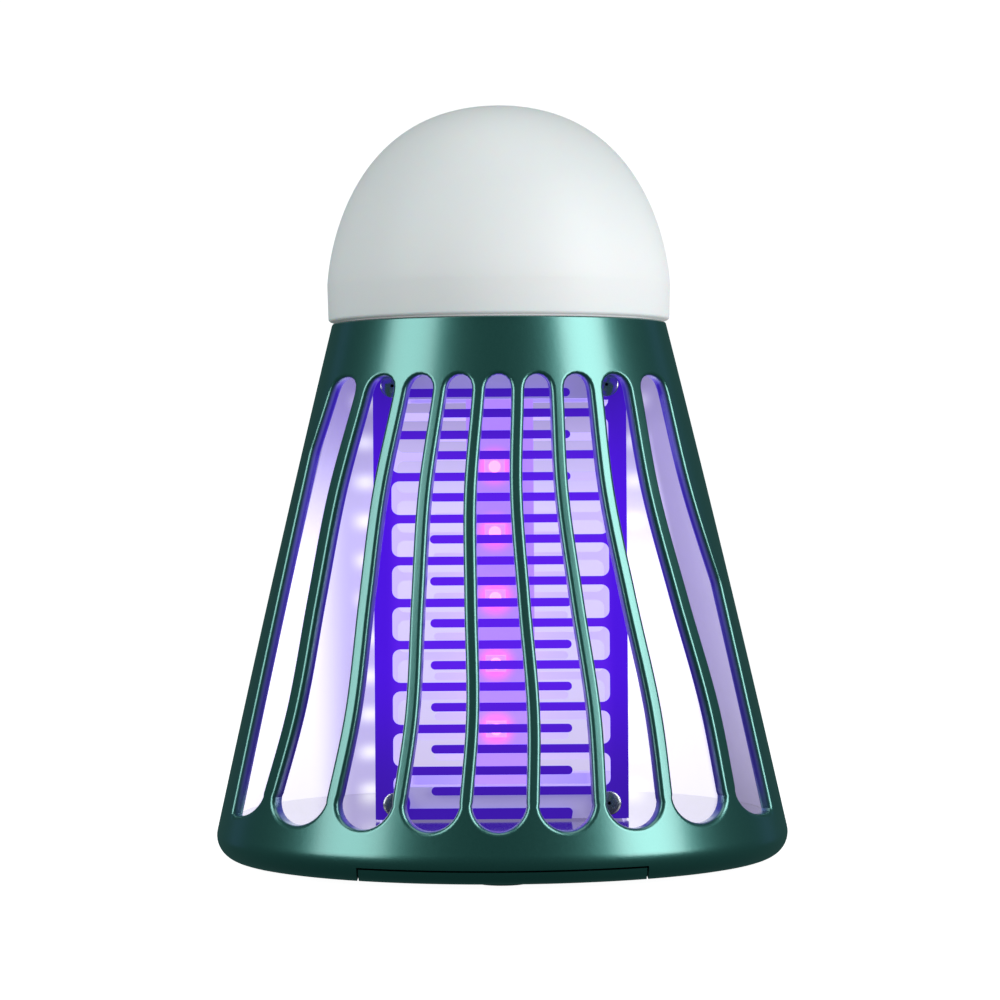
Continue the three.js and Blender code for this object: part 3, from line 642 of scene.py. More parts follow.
# ------------------------------------------------------------------ special finishes
@dataclass(frozen=True)
class HousingPaint(Look):
    """Satin metallic green, with the lamp's lilac light painted on the slots' inner walls as colour and glow."""

    cone: ConeWall
    name: str = "housing_green"
    colour: tuple[float, float, float] = (0.060, 0.245, 0.215)
    deep: tuple[float, float, float] = (0.045, 0.205, 0.190)
    # Colours of the painted glow of the lamp's light on the slot walls, deeper blue further into the wall.
    lilac: tuple[float, float, float] = (0.24, 0.20, 0.95)
    shade: tuple[float, float, float] = (0.075, 0.03, 0.72)

    def _build(self) -> bpy.types.Material:
        """Build the node material."""
        s = Shader(self.name)
        _, _, z = s.axes()
        r = s.ring_radius()
        share = s.math("DIVIDE", s.math("SUBTRACT", z, self.cone.foot_z * MM), self.cone.height * MM)
        cone_r = s.math("MULTIPLY_ADD", share, (self.cone.top_radius - self.cone.foot_radius) * MM,
                        self.cone.foot_radius * MM)
        depth = s.math("SUBTRACT", cone_r, r)
        # Painted light: a mask of the slots' inner walls, away from the outer skin and faded out at the slots' ends.
        inside = s.ramp(depth, 0.0001, 0.0011)
        height = s.math("MULTIPLY", s.ramp(z, 0.007, 0.016), s.math("SUBTRACT", 1.0, s.ramp(z, 0.081, 0.0835)))
        lit = s.math("MULTIPLY", inside, height)
        flakes = s.noise(5200.0, 1.0)
        base = s.mix(s.noise(38.0, 2.0), self.colour, self.deep)
        base = s.mix(s.math("MULTIPLY", flakes, 0.16), base, (0.16, 0.42, 0.36))
        deep = s.math("MULTIPLY", s.ramp(depth, 0.0007, 0.0012), height)
        # Painted light: the inner walls' base colour turns dark violet, and they glow lilac, brighter higher up.
        s.link(s.mix(lit, base, (0.035, 0.030, 0.19)), s.bsdf.inputs["Base Color"])
        s.link(s.math("MULTIPLY_ADD", flakes, 0.10, 0.27), s.bsdf.inputs["Roughness"])
        s.constant("Metallic", 0.86)
        s.constant("Coat Weight", 0.8)
        s.constant("Coat Roughness", 0.22)
        s.constant("Coat IOR", 1.8)
        low = s.math("MULTIPLY_ADD", s.ramp(z, 0.020, 0.070), 0.6, 0.4)
        s.link(s.mix(deep, self.lilac, self.shade), s.bsdf.inputs["Emission Color"])
        s.link(s.math("MULTIPLY", s.math("MULTIPLY", lit, low), 0.42), s.bsdf.inputs["Emission Strength"])
        s.bump(1500.0, 0.05)
        return s.material


@dataclass(frozen=True)
class GridSteel(Look):
    """Bright steel with the ultraviolet board's blue-violet light painted on as colour and glow."""

    name: str = "grid_steel"
    middle: tuple[float, float, float] = (0.128, 0.016, 1.0)
    rail: tuple[float, float, float] = (0.088, 0.008, 0.90)
    ends: tuple[float, float, float] = (0.050, 0.010, 0.45)
    washed: tuple[float, float, float] = (0.66, 0.57, 0.92)

    def _build(self) -> bpy.types.Material:
        """Build the node material."""
        s = Shader(self.name)
        _, _, z = s.axes()
        # Painted light: the glow is brightest at mid height and on the fingers, darker on the rails and towards the
        # top and bottom.
        away = s.math("ABSOLUTE", s.math("SUBTRACT", z, 0.047))
        edge = s.ramp(away, 0.012, 0.037)
        x, y, _ = s.axes()
        # Painted light: from the front face back, the glow turns pale lilac.
        behind = s.ramp(y, -0.0148, -0.0115)
        outer = s.ramp(s.math("ABSOLUTE", x), 0.0165, 0.0190)
        lit = s.mix(edge, s.mix(outer, self.middle, self.rail), self.ends)
        # Painted light: violet base colour on the front faces, pale lilac behind them.
        s.link(s.mix(behind, (0.05, 0.01, 0.30), (0.42, 0.38, 0.62)), s.bsdf.inputs["Base Color"])
        s.link(s.mix(behind, lit, self.washed), s.bsdf.inputs["Emission Color"])
        s.constant("Emission Strength", 0.76)
        s.link(s.math("MULTIPLY_ADD", s.noise(700.0, 2.0), 0.1, 0.26), s.bsdf.inputs["Roughness"])
        s.constant("Metallic", 0.6)
        s.bump(2400.0, 0.04)
        return s.material


@dataclass(frozen=True)
class ReflectorSheet(Look):
    """White sheet with the lamp's light painted on as glow: lilac near the grid and higher up, white lower and out to
    the left, painted shade at the top and the far right, and painted spots of light in rows.
    """

    name: str = "reflector_white"
    # Tints of the painted light on the sheet; the grey is the painted shade at the far right.
    lilac: tuple[float, float, float] = (0.50, 0.44, 0.82)
    painted_shade_grey: tuple[float, float, float] = (0.55, 0.52, 0.66)
    behind_grid: tuple[float, float, float] = (0.74, 0.67, 0.93)
    pale: tuple[float, float, float] = (0.97, 0.96, 1.0)
    pitch: float = 0.0069

    def _build(self) -> bpy.types.Material:
        """Build the node material."""
        s = Shader(self.name)
        x, _, z = s.axes()
        # Painted light and shade: masks for the top, the part near the grid and the far right side.
        side = s.math("DIVIDE", x, s.ring_radius())
        top = s.ramp(z, 0.046, 0.080)
        left = s.ramp(x, -0.034, -0.026)
        near = s.math("MULTIPLY", left, s.math("SUBTRACT", 1.0, s.ramp(x, 0.018, 0.022)))
        far = s.math("MULTIPLY", s.ramp(side, 0.84, 0.90), 0.9)
        share = s.math("MAXIMUM", s.math("MAXIMUM", top, far), s.math("MULTIPLY", near, 0.8), clamp=True)
        centre = s.math("SUBTRACT", 1.0, s.ramp(s.math("ABSOLUTE", x), 0.0175, 0.0205))
        tint = s.mix(far, s.mix(share, self.pale, s.mix(centre, self.lilac, self.behind_grid)), self.painted_shade_grey)
        # Painted shade: the glow is dimmer at the top, at the far right and a little near the grid.
        shaded = s.math("MAXIMUM", s.math("MAXIMUM", top, far), s.math("MULTIPLY", near, 0.30))
        dim = s.math("MULTIPLY_ADD", shaded, -0.52, 0.84)
        # Painted light: spots in rows at the comb's pitch beside the rails, as light through the comb's gaps falling
        # on the sheet.
        wave = s.math("SINE", s.math("MULTIPLY", z, 2 * math.pi / self.pitch))
        spots = s.math("POWER", s.math("MULTIPLY_ADD", wave, 0.5, 0.5), 2.0)
        band = s.ramp(s.math("ABSOLUTE", s.math("ADD", s.math("ABSOLUTE", x), -0.0235)), 0.0035, 0.0)
        spots = s.math("MULTIPLY", spots, band, clamp=True)
        s.link(s.mix(s.math("MULTIPLY", spots, 0.8), tint, (1.0, 1.0, 1.0)), s.bsdf.inputs["Emission Color"])
        s.link(s.math("MULTIPLY_ADD", spots, 0.25, dim), s.bsdf.inputs["Emission Strength"])
        s.link(s.mix(share, (0.60, 0.60, 0.62), (0.24, 0.21, 0.34)), s.bsdf.inputs["Base Color"])
        s.link(s.math("MULTIPLY_ADD", s.noise(300.0, 2.0), 0.1, 0.4), s.bsdf.inputs["Roughness"])
        s.bump(1200.0, 0.05)
        return s.material


@dataclass(frozen=True)
class OpalDome(Look):
    """Frosted white plastic with painted light: a glow that is brighter low down and towards the right side."""

    name: str = "opal_dome"
    colour: tuple[float, float, float] = (0.86, 0.86, 0.865)
    low: float = 0.094
    high: float = 0.127

    def _build(self) -> bpy.types.Material:
        """Build the node material."""
        s = Shader(self.name)
        x, _, z = s.axes()
        # Painted light: the glow fades out upwards and is weaker towards the left.
        fade = s.math("SUBTRACT", 1.0, s.ramp(z, self.low, self.high))
        right = s.math("MULTIPLY_ADD", s.ramp(x, -0.026, 0.016), 0.7, 0.3)
        s.link(s.mix(s.noise(24.0, 2.0), self.colour, (0.83, 0.83, 0.84)), s.bsdf.inputs["Base Color"])
        s.link(s.math("MULTIPLY_ADD", s.noise(160.0, 2.0), 0.06, 0.47), s.bsdf.inputs["Roughness"])
        s.constant("Subsurface Weight", 0.25)
        s.constant("Subsurface Scale", 0.004)
        s.bsdf.inputs["Emission Color"].default_value = (1.0, 0.98, 1.0, 1.0)
        glow = s.math("MULTIPLY_ADD", s.math("MULTIPLY", fade, right), 0.30, 0.02)
        s.link(glow, s.bsdf.inputs["Emission Strength"])
        s.bump(1400.0, 0.05)
        return s.material


@dataclass(frozen=True)
class LureBoard(Look):
    """White solder mask with violet light painted into its colour and glow, and a painted magenta halo of glow round
    each emitter.
    """

    name: str = "white_board"
    first: float = 0.0221
    pitch: float = 0.01105
    count: int = 5
    aside: float = 0.0009
    violet: tuple[float, float, float] = (0.42, 0.22, 0.93)
    magenta: tuple[float, float, float] = (0.95, 0.10, 0.80)

    def _build(self) -> bpy.types.Material:
        """Build the node material."""
        s = Shader(self.name)
        x, _, z = s.axes()
        steps = s.math("DIVIDE", s.math("SUBTRACT", z, self.first), self.pitch)
        nearest = s.math("MAXIMUM", s.math("MINIMUM", s.math("ROUND", steps), self.count - 1.0), 0.0)
        up = s.math("MULTIPLY", s.math("SUBTRACT", steps, nearest), self.pitch)
        side = s.math("ADD", x, self.aside)
        far = s.math("SQRT", s.math("ADD", s.math("MULTIPLY", up, up), s.math("MULTIPLY", side, side)))
        halo = s.math("SUBTRACT", 1.0, s.ramp(far, 0.0012, 0.0042))
        # Painted light: the white board is coloured violet and glows, with a brighter magenta halo round each
        # emitter.
        s.link(s.mix(s.noise(60.0, 2.0), (0.40, 0.34, 0.62), (0.34, 0.28, 0.58)), s.bsdf.inputs["Base Color"])
        s.link(s.mix(halo, self.violet, self.magenta), s.bsdf.inputs["Emission Color"])
        s.link(s.math("MULTIPLY_ADD", halo, 0.25, 0.80), s.bsdf.inputs["Emission Strength"])
        s.constant("Roughness", 0.45)
        s.bump(900.0, 0.05)
        return s.material


WHITE = Finish("white_plastic", (0.78, 0.78, 0.84), (0.70, 0.70, 0.80), roughness=0.42)
# Painted light: the white holders are coloured lilac and given a lilac glow for the lamp's light on them.
LIT_WHITE = Finish("holder_white", (0.45, 0.42, 0.62), (0.40, 0.36, 0.58), roughness=0.42,
                   glow=0.42, glow_colour=(0.50, 0.42, 0.90))
BASE_GREEN = Finish("base_green", (0.020, 0.062, 0.055), (0.014, 0.046, 0.042), roughness=0.45, grain=0.2,
                    grain_scale=1800.0)
SCREW = Finish("screw_steel", (0.78, 0.78, 0.80), (0.62, 0.62, 0.66), roughness=0.24, metallic=1.0, grain=0.05)
LAMP_EMITTER = Finish("lamp_emitter", (0.92, 0.84, 0.45), (0.88, 0.78, 0.36), roughness=0.3)
UV_BODY = Finish("emitter_body", (0.62, 0.45, 0.90), (0.56, 0.40, 0.86), roughness=0.35, glow=0.75,
                 glow_colour=(0.85, 0.30, 1.0))
UV_LENS = Finish("uv_emitter", (0.90, 0.25, 0.95), (0.84, 0.20, 0.95), roughness=0.2, glow=2.0,
                 glow_colour=(1.0, 0.26, 0.70))
CIRCUIT = Finish("circuit_board", (0.02, 0.13, 0.05), (0.015, 0.10, 0.04), roughness=0.4)
BLACK = Finish("black_plastic", (0.02, 0.02, 0.024), (0.03, 0.03, 0.036), roughness=0.5)
# The chamber floor is made near-black, which also paints the shade at the foot of the slots.
FLOOR_BLACK = Finish("chamber_black", (0.035, 0.035, 0.05), (0.05, 0.05, 0.07), roughness=0.12, coat=1.0)
FOIL = Finish("foil", (0.55, 0.56, 0.58), (0.46, 0.47, 0.50), roughness=0.35, metallic=0.9, grain=0.25,
              grain_scale=350.0)
RUBBER = Finish("rubber", (0.022, 0.024, 0.026), (0.030, 0.032, 0.034), roughness=0.7, grain=0.35,
                grain_scale=2200.0)


# ------------------------------------------------------------------ Geometry Nodes for what repeats
class Shape(Enum):
    """What a pattern places at each of its points."""

    SCREW = "screw"
    BOX = "box"
    PAD = "pad"
    LENS = "lens"


@dataclass
class Pattern:
    """Equal small parts placed at points by a Geometry Nodes tree.

    ``across``, ``tall`` and ``deep`` are the part's sizes in millimetres, and its own +Z is
    turned by each point's rotation.
    """

    name: str
    shape: Shape
    across: float
    tall: float
    deep: float
    spots: Sequence[tuple[float, float, float]]
    turns: Sequence[tuple[float, float, float]]
    seed: int = 7
    spread: float = 0.9

    def _primitive(self, tree: bpy.types.GeometryNodeTree, kind: str, **values: float) -> bpy.types.Node:
        """Add a mesh primitive node.

        Args:
            tree: The tree.
            kind: The node's type.
            **values: Its sockets' values, with _ for a space.

        Returns:
            The node.
        """
        node = tree.nodes.new(kind)
        for socket, value in values.items():
            node.inputs[socket.replace("_", " ")].default_value = value
        return node

    def _moved(self, tree: bpy.types.GeometryNodeTree, geometry: bpy.types.NodeSocket,
               place: Sequence[float] = (0, 0, 0), size: Sequence[float] = (1, 1, 1),
               turn: Sequence[float] = (0, 0, 0)) -> bpy.types.NodeSocket:
        """Add a Transform Geometry node.

        Args:
            tree: The tree.
            geometry: What is moved.
            place: Where to.
            size: Its scale.
            turn: Its Euler angles.

        Returns:
            The moved geometry's socket.
        """
        node = tree.nodes.new("GeometryNodeTransform")
        tree.links.new(geometry, node.inputs["Geometry"])
        node.inputs["Translation"].default_value = place
        node.inputs["Scale"].default_value = size
        node.inputs["Rotation"].default_value = turn
        return node.outputs["Geometry"]

    def _gather(self, tree: bpy.types.GeometryNodeTree, *parts: bpy.types.NodeSocket) -> bpy.types.NodeSocket:
        """Add a Join Geometry node and return its socket."""
        node = tree.nodes.new("GeometryNodeJoinGeometry")
        for part in parts:
            tree.links.new(part, node.inputs[0])
        return node.outputs[0]

    def _screw(self, tree: bpy.types.GeometryNodeTree) -> bpy.types.NodeSocket:
        """A pan head with a cross recess, and its shank down -Z."""
        r, h, length = self.across * MM / 2, self.tall * MM, self.deep * MM
        rim = self._primitive(tree, "GeometryNodeMeshCylinder", Vertices=40, Radius=r, Depth=h * 0.5)
        crown = self._primitive(tree, "GeometryNodeMeshUVSphere", Segments=40, Rings=20, Radius=r)
        head = tree.nodes.new("GeometryNodeMeshBoolean")
        head.operation = "UNION"
        tree.links.new(self._moved(tree, rim.outputs["Mesh"], (0, 0, h * 0.25)), head.inputs["Mesh 2"])
        tree.links.new(self._moved(tree, crown.outputs["Mesh"], (0, 0, h * 0.5), (0.985, 0.985, h * 0.5 / r)),
                       head.inputs["Mesh 2"])
        drive = tree.nodes.new("GeometryNodeMeshBoolean")
        drive.operation = "DIFFERENCE"
        tree.links.new(head.outputs["Mesh"], drive.inputs["Mesh 1"])
        for angle in (math.pi / 4, -math.pi / 4):
            blade = self._primitive(tree, "GeometryNodeMeshCube")
            blade.inputs["Size"].default_value = (r * 1.15, r * 0.24, h * 0.9)
            tree.links.new(self._moved(tree, blade.outputs["Mesh"], (0, 0, h), turn=(0, 0, angle)),
                           drive.inputs["Mesh 2"])
        shank = self._primitive(tree, "GeometryNodeMeshCylinder", Vertices=20, Radius=r * 0.45, Depth=length)
        return self._gather(tree, drive.outputs["Mesh"],
                            self._moved(tree, shank.outputs["Mesh"], (0, 0, -length / 2 - 1e-5)))

    def _box(self, tree: bpy.types.GeometryNodeTree) -> bpy.types.NodeSocket:
        """A small emitter's body, from z = 0 up, with a lower plinth."""
        body = self._primitive(tree, "GeometryNodeMeshCube")
        body.inputs["Size"].default_value = (self.across * MM, self.deep * MM, self.tall * MM * 0.55)
        top = self._primitive(tree, "GeometryNodeMeshCube")
        top.inputs["Size"].default_value = (self.across * MM * 0.92, self.deep * MM * 0.92, self.tall * MM * 0.42)
        return self._gather(tree, self._moved(tree, body.outputs["Mesh"], (0, 0, self.tall * MM * 0.275)),
                            self._moved(tree, top.outputs["Mesh"], (0, 0, self.tall * MM * 0.765)))

    def _pad(self, tree: bpy.types.GeometryNodeTree) -> bpy.types.NodeSocket:
        """A round pad from z = 0 up, with a softened face."""
        r, h = self.across * MM / 2, self.tall * MM
        lower = self._primitive(tree, "GeometryNodeMeshCone", Vertices=64, Radius_Top=r, Radius_Bottom=r * 0.93,
                                Depth=h * 0.2)
        upper = self._primitive(tree, "GeometryNodeMeshCylinder", Vertices=64, Radius=r, Depth=h * 0.8)
        return self._gather(tree, lower.outputs["Mesh"],
                            self._moved(tree, upper.outputs["Mesh"], (0, 0, h * 0.6)))

    def _lens(self, tree: bpy.types.GeometryNodeTree) -> bpy.types.NodeSocket:
        """A low round dome."""
        ball = self._primitive(tree, "GeometryNodeMeshUVSphere", Segments=24, Rings=12, Radius=self.across * MM / 2)
        return self._moved(tree, ball.outputs["Mesh"], size=(1, 1, self.tall / self.across))

    def build(self, material: bpy.types.Material) -> bpy.types.Object:
        """Run the tree and keep its result as plain mesh.

        Args:
            material: What the copies are made of.

        Returns:
            One mesh object with every copy.
        """
        tree = bpy.data.node_groups.new(self.name, "GeometryNodeTree")
        face = tree.interface
        face.new_socket("Geometry", in_out="INPUT", socket_type="NodeSocketGeometry")
        size = face.new_socket("Size", in_out="INPUT", socket_type="NodeSocketFloat")
        jitter = face.new_socket("Turn Spread", in_out="INPUT", socket_type="NodeSocketFloat")
        seed = face.new_socket("Seed", in_out="INPUT", socket_type="NodeSocketInt")
        finish = face.new_socket("Finish", in_out="INPUT", socket_type="NodeSocketMaterial")
        face.new_socket("Geometry", in_out="OUTPUT", socket_type="NodeSocketGeometry")
        start, end = tree.nodes.new("NodeGroupInput"), tree.nodes.new("NodeGroupOutput")
        makers: dict[Shape, Callable[[bpy.types.GeometryNodeTree], bpy.types.NodeSocket]] = {
            Shape.SCREW: self._screw, Shape.BOX: self._box, Shape.PAD: self._pad, Shape.LENS: self._lens}
        part = makers[self.shape](tree)
        turn = tree.nodes.new("GeometryNodeInputNamedAttribute")
        turn.data_type = "FLOAT_VECTOR"
        turn.inputs["Name"].default_value = "turn"
        spread = tree.nodes.new("FunctionNodeRandomValue")
        tree.links.new(start.outputs["Turn Spread"], spread.inputs[3])
        tree.links.new(start.outputs["Seed"], spread.inputs["Seed"])
        spin = tree.nodes.new("ShaderNodeCombineXYZ")
        tree.links.new(spread.outputs[1], spin.inputs["Z"])
        twist = tree.nodes.new("FunctionNodeRotateEuler")
        twist.space = "LOCAL"
        tree.links.new(turn.outputs["Attribute"], twist.inputs["Rotation"])
        tree.links.new(spin.outputs[0], twist.inputs["Rotate By"])
        put = tree.nodes.new("GeometryNodeInstanceOnPoints")
        tree.links.new(start.outputs["Geometry"], put.inputs["Points"])
        tree.links.new(part, put.inputs["Instance"])
        tree.links.new(twist.outputs["Rotation"], put.inputs["Rotation"])
        tree.links.new(start.outputs["Size"], put.inputs["Scale"])
        real = tree.nodes.new("GeometryNodeRealizeInstances")
        tree.links.new(put.outputs["Instances"], real.inputs["Geometry"])
        paint = tree.nodes.new("GeometryNodeSetMaterial")
        tree.links.new(real.outputs["Geometry"], paint.inputs["Geometry"])
        tree.links.new(start.outputs["Finish"], paint.inputs["Material"])
        tree.links.new(paint.outputs["Geometry"], end.inputs["Geometry"])
        mesh = bpy.data.meshes.new(self.name)
        mesh.from_pydata([(x * MM, y * MM, z * MM) for x, y, z in self.spots], [], [])
        turns = mesh.attributes.new("turn", "FLOAT_VECTOR", "POINT")
        turns.data.foreach_set("vector", [math.radians(a) for t in self.turns for a in t])
        piece = bpy.data.objects.new(self.name, mesh)
        bpy.context.scene.collection.objects.link(piece)
        step = piece.modifiers.new("copies", "NODES")
        step.node_group = tree
        step[size.identifier] = 1.0
        step[jitter.identifier] = self.spread if self.shape is Shape.SCREW else 0.0
        step[seed.identifier] = self.seed
        step[finish.identifier] = material
        settled(piece)
        return smooth(piece, 35.0)


# ------------------------------------------------------------------ the cage
@dataclass
class Cage:
    """The slotted green cone, with its rounded base corner, bail notch, port and button holes."""

    cone: ConeWall = field(default_factory=ConeWall)
    slot_foot: float = 9.2
    slot_top: float = 81.0
    slots: int = 9
    rib: float = 2.1
    foot_angle: float = 54.5
    top_angle: float = 46.4
    limit: float = 71.0
    wave: tuple[Point, ...] = ((0, -0.6), (0.25, 0.25), (0.5, -0.55), (0.74, -1.1), (1, -0.1))
    outer_fillet: float = 0.75
    inner_fillet: float = 0.35
    band: tuple[float, float] = (7.2, 82.9)
    columns: int = 240
    rows: int = 31
    rim_gap: float = 0.35
    flatten: float = 38.0
    ledge_top: float = 85.6
    ledge_thick: float = 1.4
    ledge_wide: float = 3.1
    posts: Optional[bpy.types.Object] = field(default=None, init=False)

    def share(self, z: np.ndarray) -> np.ndarray:
        """The height's share between the slots' ends."""
        return (z - self.slot_foot) / (self.slot_top - self.slot_foot)

    def pitch(self, z: np.ndarray) -> np.ndarray:
        """The slots' spacing at a height, as seen from the front."""
        angle = np.radians(self.foot_angle + (self.top_angle - self.foot_angle) * self.share(z))
        return self.cone.radius(z) * np.sin(angle) / (self.slots / 2 - 1)

    def half(self, z: np.ndarray) -> np.ndarray:
        """Half of a slot's width at a height."""
        return (self.pitch(z) - self.rib) / 2

    def shift(self, z: np.ndarray) -> np.ndarray:
        """How far the slots' middles wander sideways at a height."""
        t = np.clip(self.share(np.asarray(z, float)), 0, 1)
        xs = np.array([p[0] for p in self.wave])
        ys = np.array([p[1] for p in self.wave])
        i = np.clip(np.searchsorted(xs, t, side="right") - 1, 0, len(xs) - 2)
        u = (t - xs[i]) / (xs[i + 1] - xs[i])
        p0, p1, p2 = ys[np.maximum(i - 1, 0)], ys[i], ys[i + 1]
        p3 = ys[np.minimum(i + 2, len(ys) - 1)]
        m1, m2 = (p2 - p0) / 2, (p3 - p1) / 2
        return ((2 * p1 - 2 * p2 + m1 + m2) * u ** 3 + (-3 * p1 + 3 * p2 - 2 * m1 - m2) * u ** 2 + m1 * u + p1)

    def outline(self, index: int, step: float = 0.8) -> np.ndarray:
        """One slot's outline, evenly stepped.

        Args:
            index: Which slot, 0 in the middle.
            step: The spacing of its points, in millimetres.

        Returns:
            Rows of bearing in radians and height.
        """
        low_r, high_r = float(self.half(self.slot_foot)), float(self.half(self.slot_top))
        low, high = self.slot_foot + low_r, self.slot_top - high_r
        rise = np.linspace(low, high, 80)
        up = np.radians(np.linspace(0, 180, 40))
        down = np.radians(np.linspace(180, 360, 60))
        zs = np.concatenate([rise, high + high_r * np.sin(up), rise[::-1], low + low_r * np.sin(down)])
        xs = np.concatenate([self.half(rise), high_r * np.cos(up), -self.half(rise[::-1]), low_r * np.cos(down)])
        xs = xs + index * self.pitch(zs) + self.shift(zs)
        top = math.sin(math.radians(self.limit))
        ring = np.column_stack([np.arcsin(np.clip(xs / self.cone.radius(zs), -top, top)), zs])
        flat = np.column_stack([ring[:, 0] * self.cone.radius(zs), zs])
        closed = np.vstack([flat, flat[:1]])
        length = np.concatenate([[0], np.cumsum(np.hypot(*np.diff(closed, axis=0).T))])
        at = np.linspace(0, length[-1], int(length[-1] / step), endpoint=False)
        x = np.interp(at, length, closed[:, 0])
        z = np.interp(at, length, closed[:, 1])
        return np.column_stack([x / self.cone.radius(z), z])

    def grown(self, ring: np.ndarray, by: float) -> np.ndarray:
        """A slot's outline moved outwards on the wall.

        Args:
            ring: Rows of bearing and height, turning left.
            by: How far, in millimetres.

        Returns:
            The moved rows.
        """
        r = self.cone.radius(ring[:, 1])
        flat = np.column_stack([ring[:, 0] * r, ring[:, 1]])
        ahead = np.roll(flat, -1, 0) - np.roll(flat, 1, 0)
        ahead /= np.maximum(np.hypot(ahead[:, 0], ahead[:, 1]), 1e-9)[:, None]
        return np.column_stack([ring[:, 0] + ahead[:, 1] * by / r, ring[:, 1] - ahead[:, 0] * by])

    def _skin(self, rings: list[np.ndarray], depth: float) -> tuple[np.ndarray, list[tuple[int, ...]]]:
        """Triangulate a skin of the slotted band round its holes.

        Args:
            rings: The holes' outlines.
            depth: The skin's depth.

        Returns:
            Places and triangles.
        """
        scale = self.flatten
        low, high = self.band
        start = -math.pi / 2
        bearings = start + np.arange(self.columns + 1) * 2 * math.pi / self.columns
        rows = np.linspace(low, high, self.rows)
        grid = np.array([(b, z) for z in rows for b in bearings])
        keep = np.ones(len(grid), bool)
        for ring in rings:
            keep &= ~inside_ring(grid, self.grown(ring, self.rim_gap))
        flat = [Vector((b * scale, z)) for b, z in grid[keep]]
        edges: list[tuple[int, int]] = []
        for ring in rings:
            n0, n = len(flat), len(ring)
            flat += [Vector((b * scale, z)) for b, z in ring]
            edges += [(n0 + i, n0 + (i + 1) % n) for i in range(n)]
        verts, _, faces, *_ = delaunay_2d_cdt(flat, edges, [], 0, 1e-6)
        at = np.array([(v[0] / scale, v[1]) for v in verts])
        tri = np.array(faces)
        middle = at[tri].mean(axis=1)
        open_ = np.zeros(len(tri), bool)
        for ring in rings:
            open_ |= inside_ring(middle, ring)
        return self._placed(at, depth), [tuple(t) for t in tri[~open_]]

    def _placed(self, at: np.ndarray, depth: float) -> np.ndarray:
        """Put bearings and heights on a skin of the shell."""
        r = self.cone.skin(at[:, 1], 0.0) - depth if depth < self.cone.wall else self.cone.skin(at[:, 1], depth)
        return np.column_stack([np.sin(at[:, 0]) * r, -np.cos(at[:, 0]) * r, at[:, 1]])

    def shell(self) -> bpy.types.Object:
        """Build the slotted shell as one closed mesh."""
        outlines = []
        for base in (0.0, math.pi):
            for index in range(-(self.slots // 2), self.slots // 2 + 1):
                ring = self.outline(index)
                ring[:, 0] += base
                outlines.append(ring)
        f, g, wall = self.outer_fillet, self.inner_fillet, self.cone.wall
        steps = [(f * (1 - math.sin(t)), f * (1 - math.cos(t))) for t in np.radians(np.linspace(0, 90, 7))]
        steps += [(g * (1 - math.cos(t)), wall - g * (1 - math.sin(t))) for t in np.radians(np.linspace(0, 90, 4))]
        points: list[np.ndarray] = []
        faces: list[tuple[int, ...]] = []
        count = 0
        for rings, depth in (([self.grown(r, steps[0][0]) for r in outlines], 0.0),
                             ([self.grown(r, steps[-1][0]) for r in outlines], wall)):
            at, tri = self._skin(rings, depth)
            faces += [tuple(i + count for i in t) for t in tri]
            points.append(at)
            count += len(at)
        for ring in outlines:
            n = len(ring)
            for k, (by, depth) in enumerate(steps):
                points.append(self._placed(self.grown(ring, by), depth))
                if k:
                    a, b = count - n, count
                    faces += [(a + i, a + (i + 1) % n, b + (i + 1) % n, b + i) for i in range(n)]
                count += n
        for path in (self._foot_path(), self._top_path()):
            path = np.array(path)
            n = len(path)
            bearings = -math.pi / 2 + np.arange(self.columns) * 2 * math.pi / self.columns
            points.append(around(path, bearings).reshape(-1, 3))
            for i in range(self.columns):
                a, b = count + i * n, count + ((i + 1) % self.columns) * n
                faces += [(a + j, b + j, b + j + 1, a + j + 1) for j in range(n - 1)]
            count += self.columns * n
        return mesh_piece("cage_shell", np.vstack(points), faces, 1e-3)

    def _foot_path(self) -> list[Point]:
        """The section from the inner skin round the bottom corner to the outer skin."""
        c, low = self.cone, self.band[0]

        def down(depth: float) -> list[Point]:
            """The skin's section from the band to the underside."""
            arc_r = c.corner - depth
            touch = math.degrees(c.lean)
            bend = arc(c.centre_r, c.centre_z, arc_r, touch, -90, 14)
            heights = np.linspace(low, bend[0][1], 3)[:-1]
            return [(float(c.skin(z, depth)), float(z)) for z in heights] + bend

        return down(c.wall) + [(c.opening, c.foot_z + c.wall), (c.opening, c.foot_z)] + down(0.0)[::-1]

    def _top_path(self) -> list[Point]:
        """The section from the outer skin over the top edge and the ledge to the inner skin."""
        c, high = self.cone, self.band[1]
        top = c.foot_z + c.height
        rim = c.top_radius
        path = [(float(c.radius(z)), float(z)) for z in np.linspace(high, top - 0.3, 5)]
        path += [(rim - 0.09, top - 0.09), (rim - 0.3, top)]
        path += [(rim - c.wall, top), (float(c.radius(self.ledge_top)) - c.wall, self.ledge_top)]
        shelf = float(c.radius(self.ledge_top)) - c.wall - self.ledge_wide
        under = self.ledge_top - self.ledge_thick
        return path + [(shelf, self.ledge_top), (shelf, under), (float(c.radius(under)) - c.wall, under),
                       (float(c.radius(high)) - c.wall, high)]

    def build(self, openings: Sequence[bpy.types.Object], posts: Sequence[bpy.types.Object]) -> bpy.types.Object:
        """Build the whole cage.

        Args:
            openings: Tools that cut the notch, port and button holes.
            posts: Screw posts and the port's thickening inside.

        Returns:
            The cage.
        """
        shell = cut_with(self.shell(), openings)
        smooth(shell, 32.0)
        true_normals(shell, self.cone)
        shell.name = "cage_green"
        self.posts = joined("cage_posts", posts)
        return shell

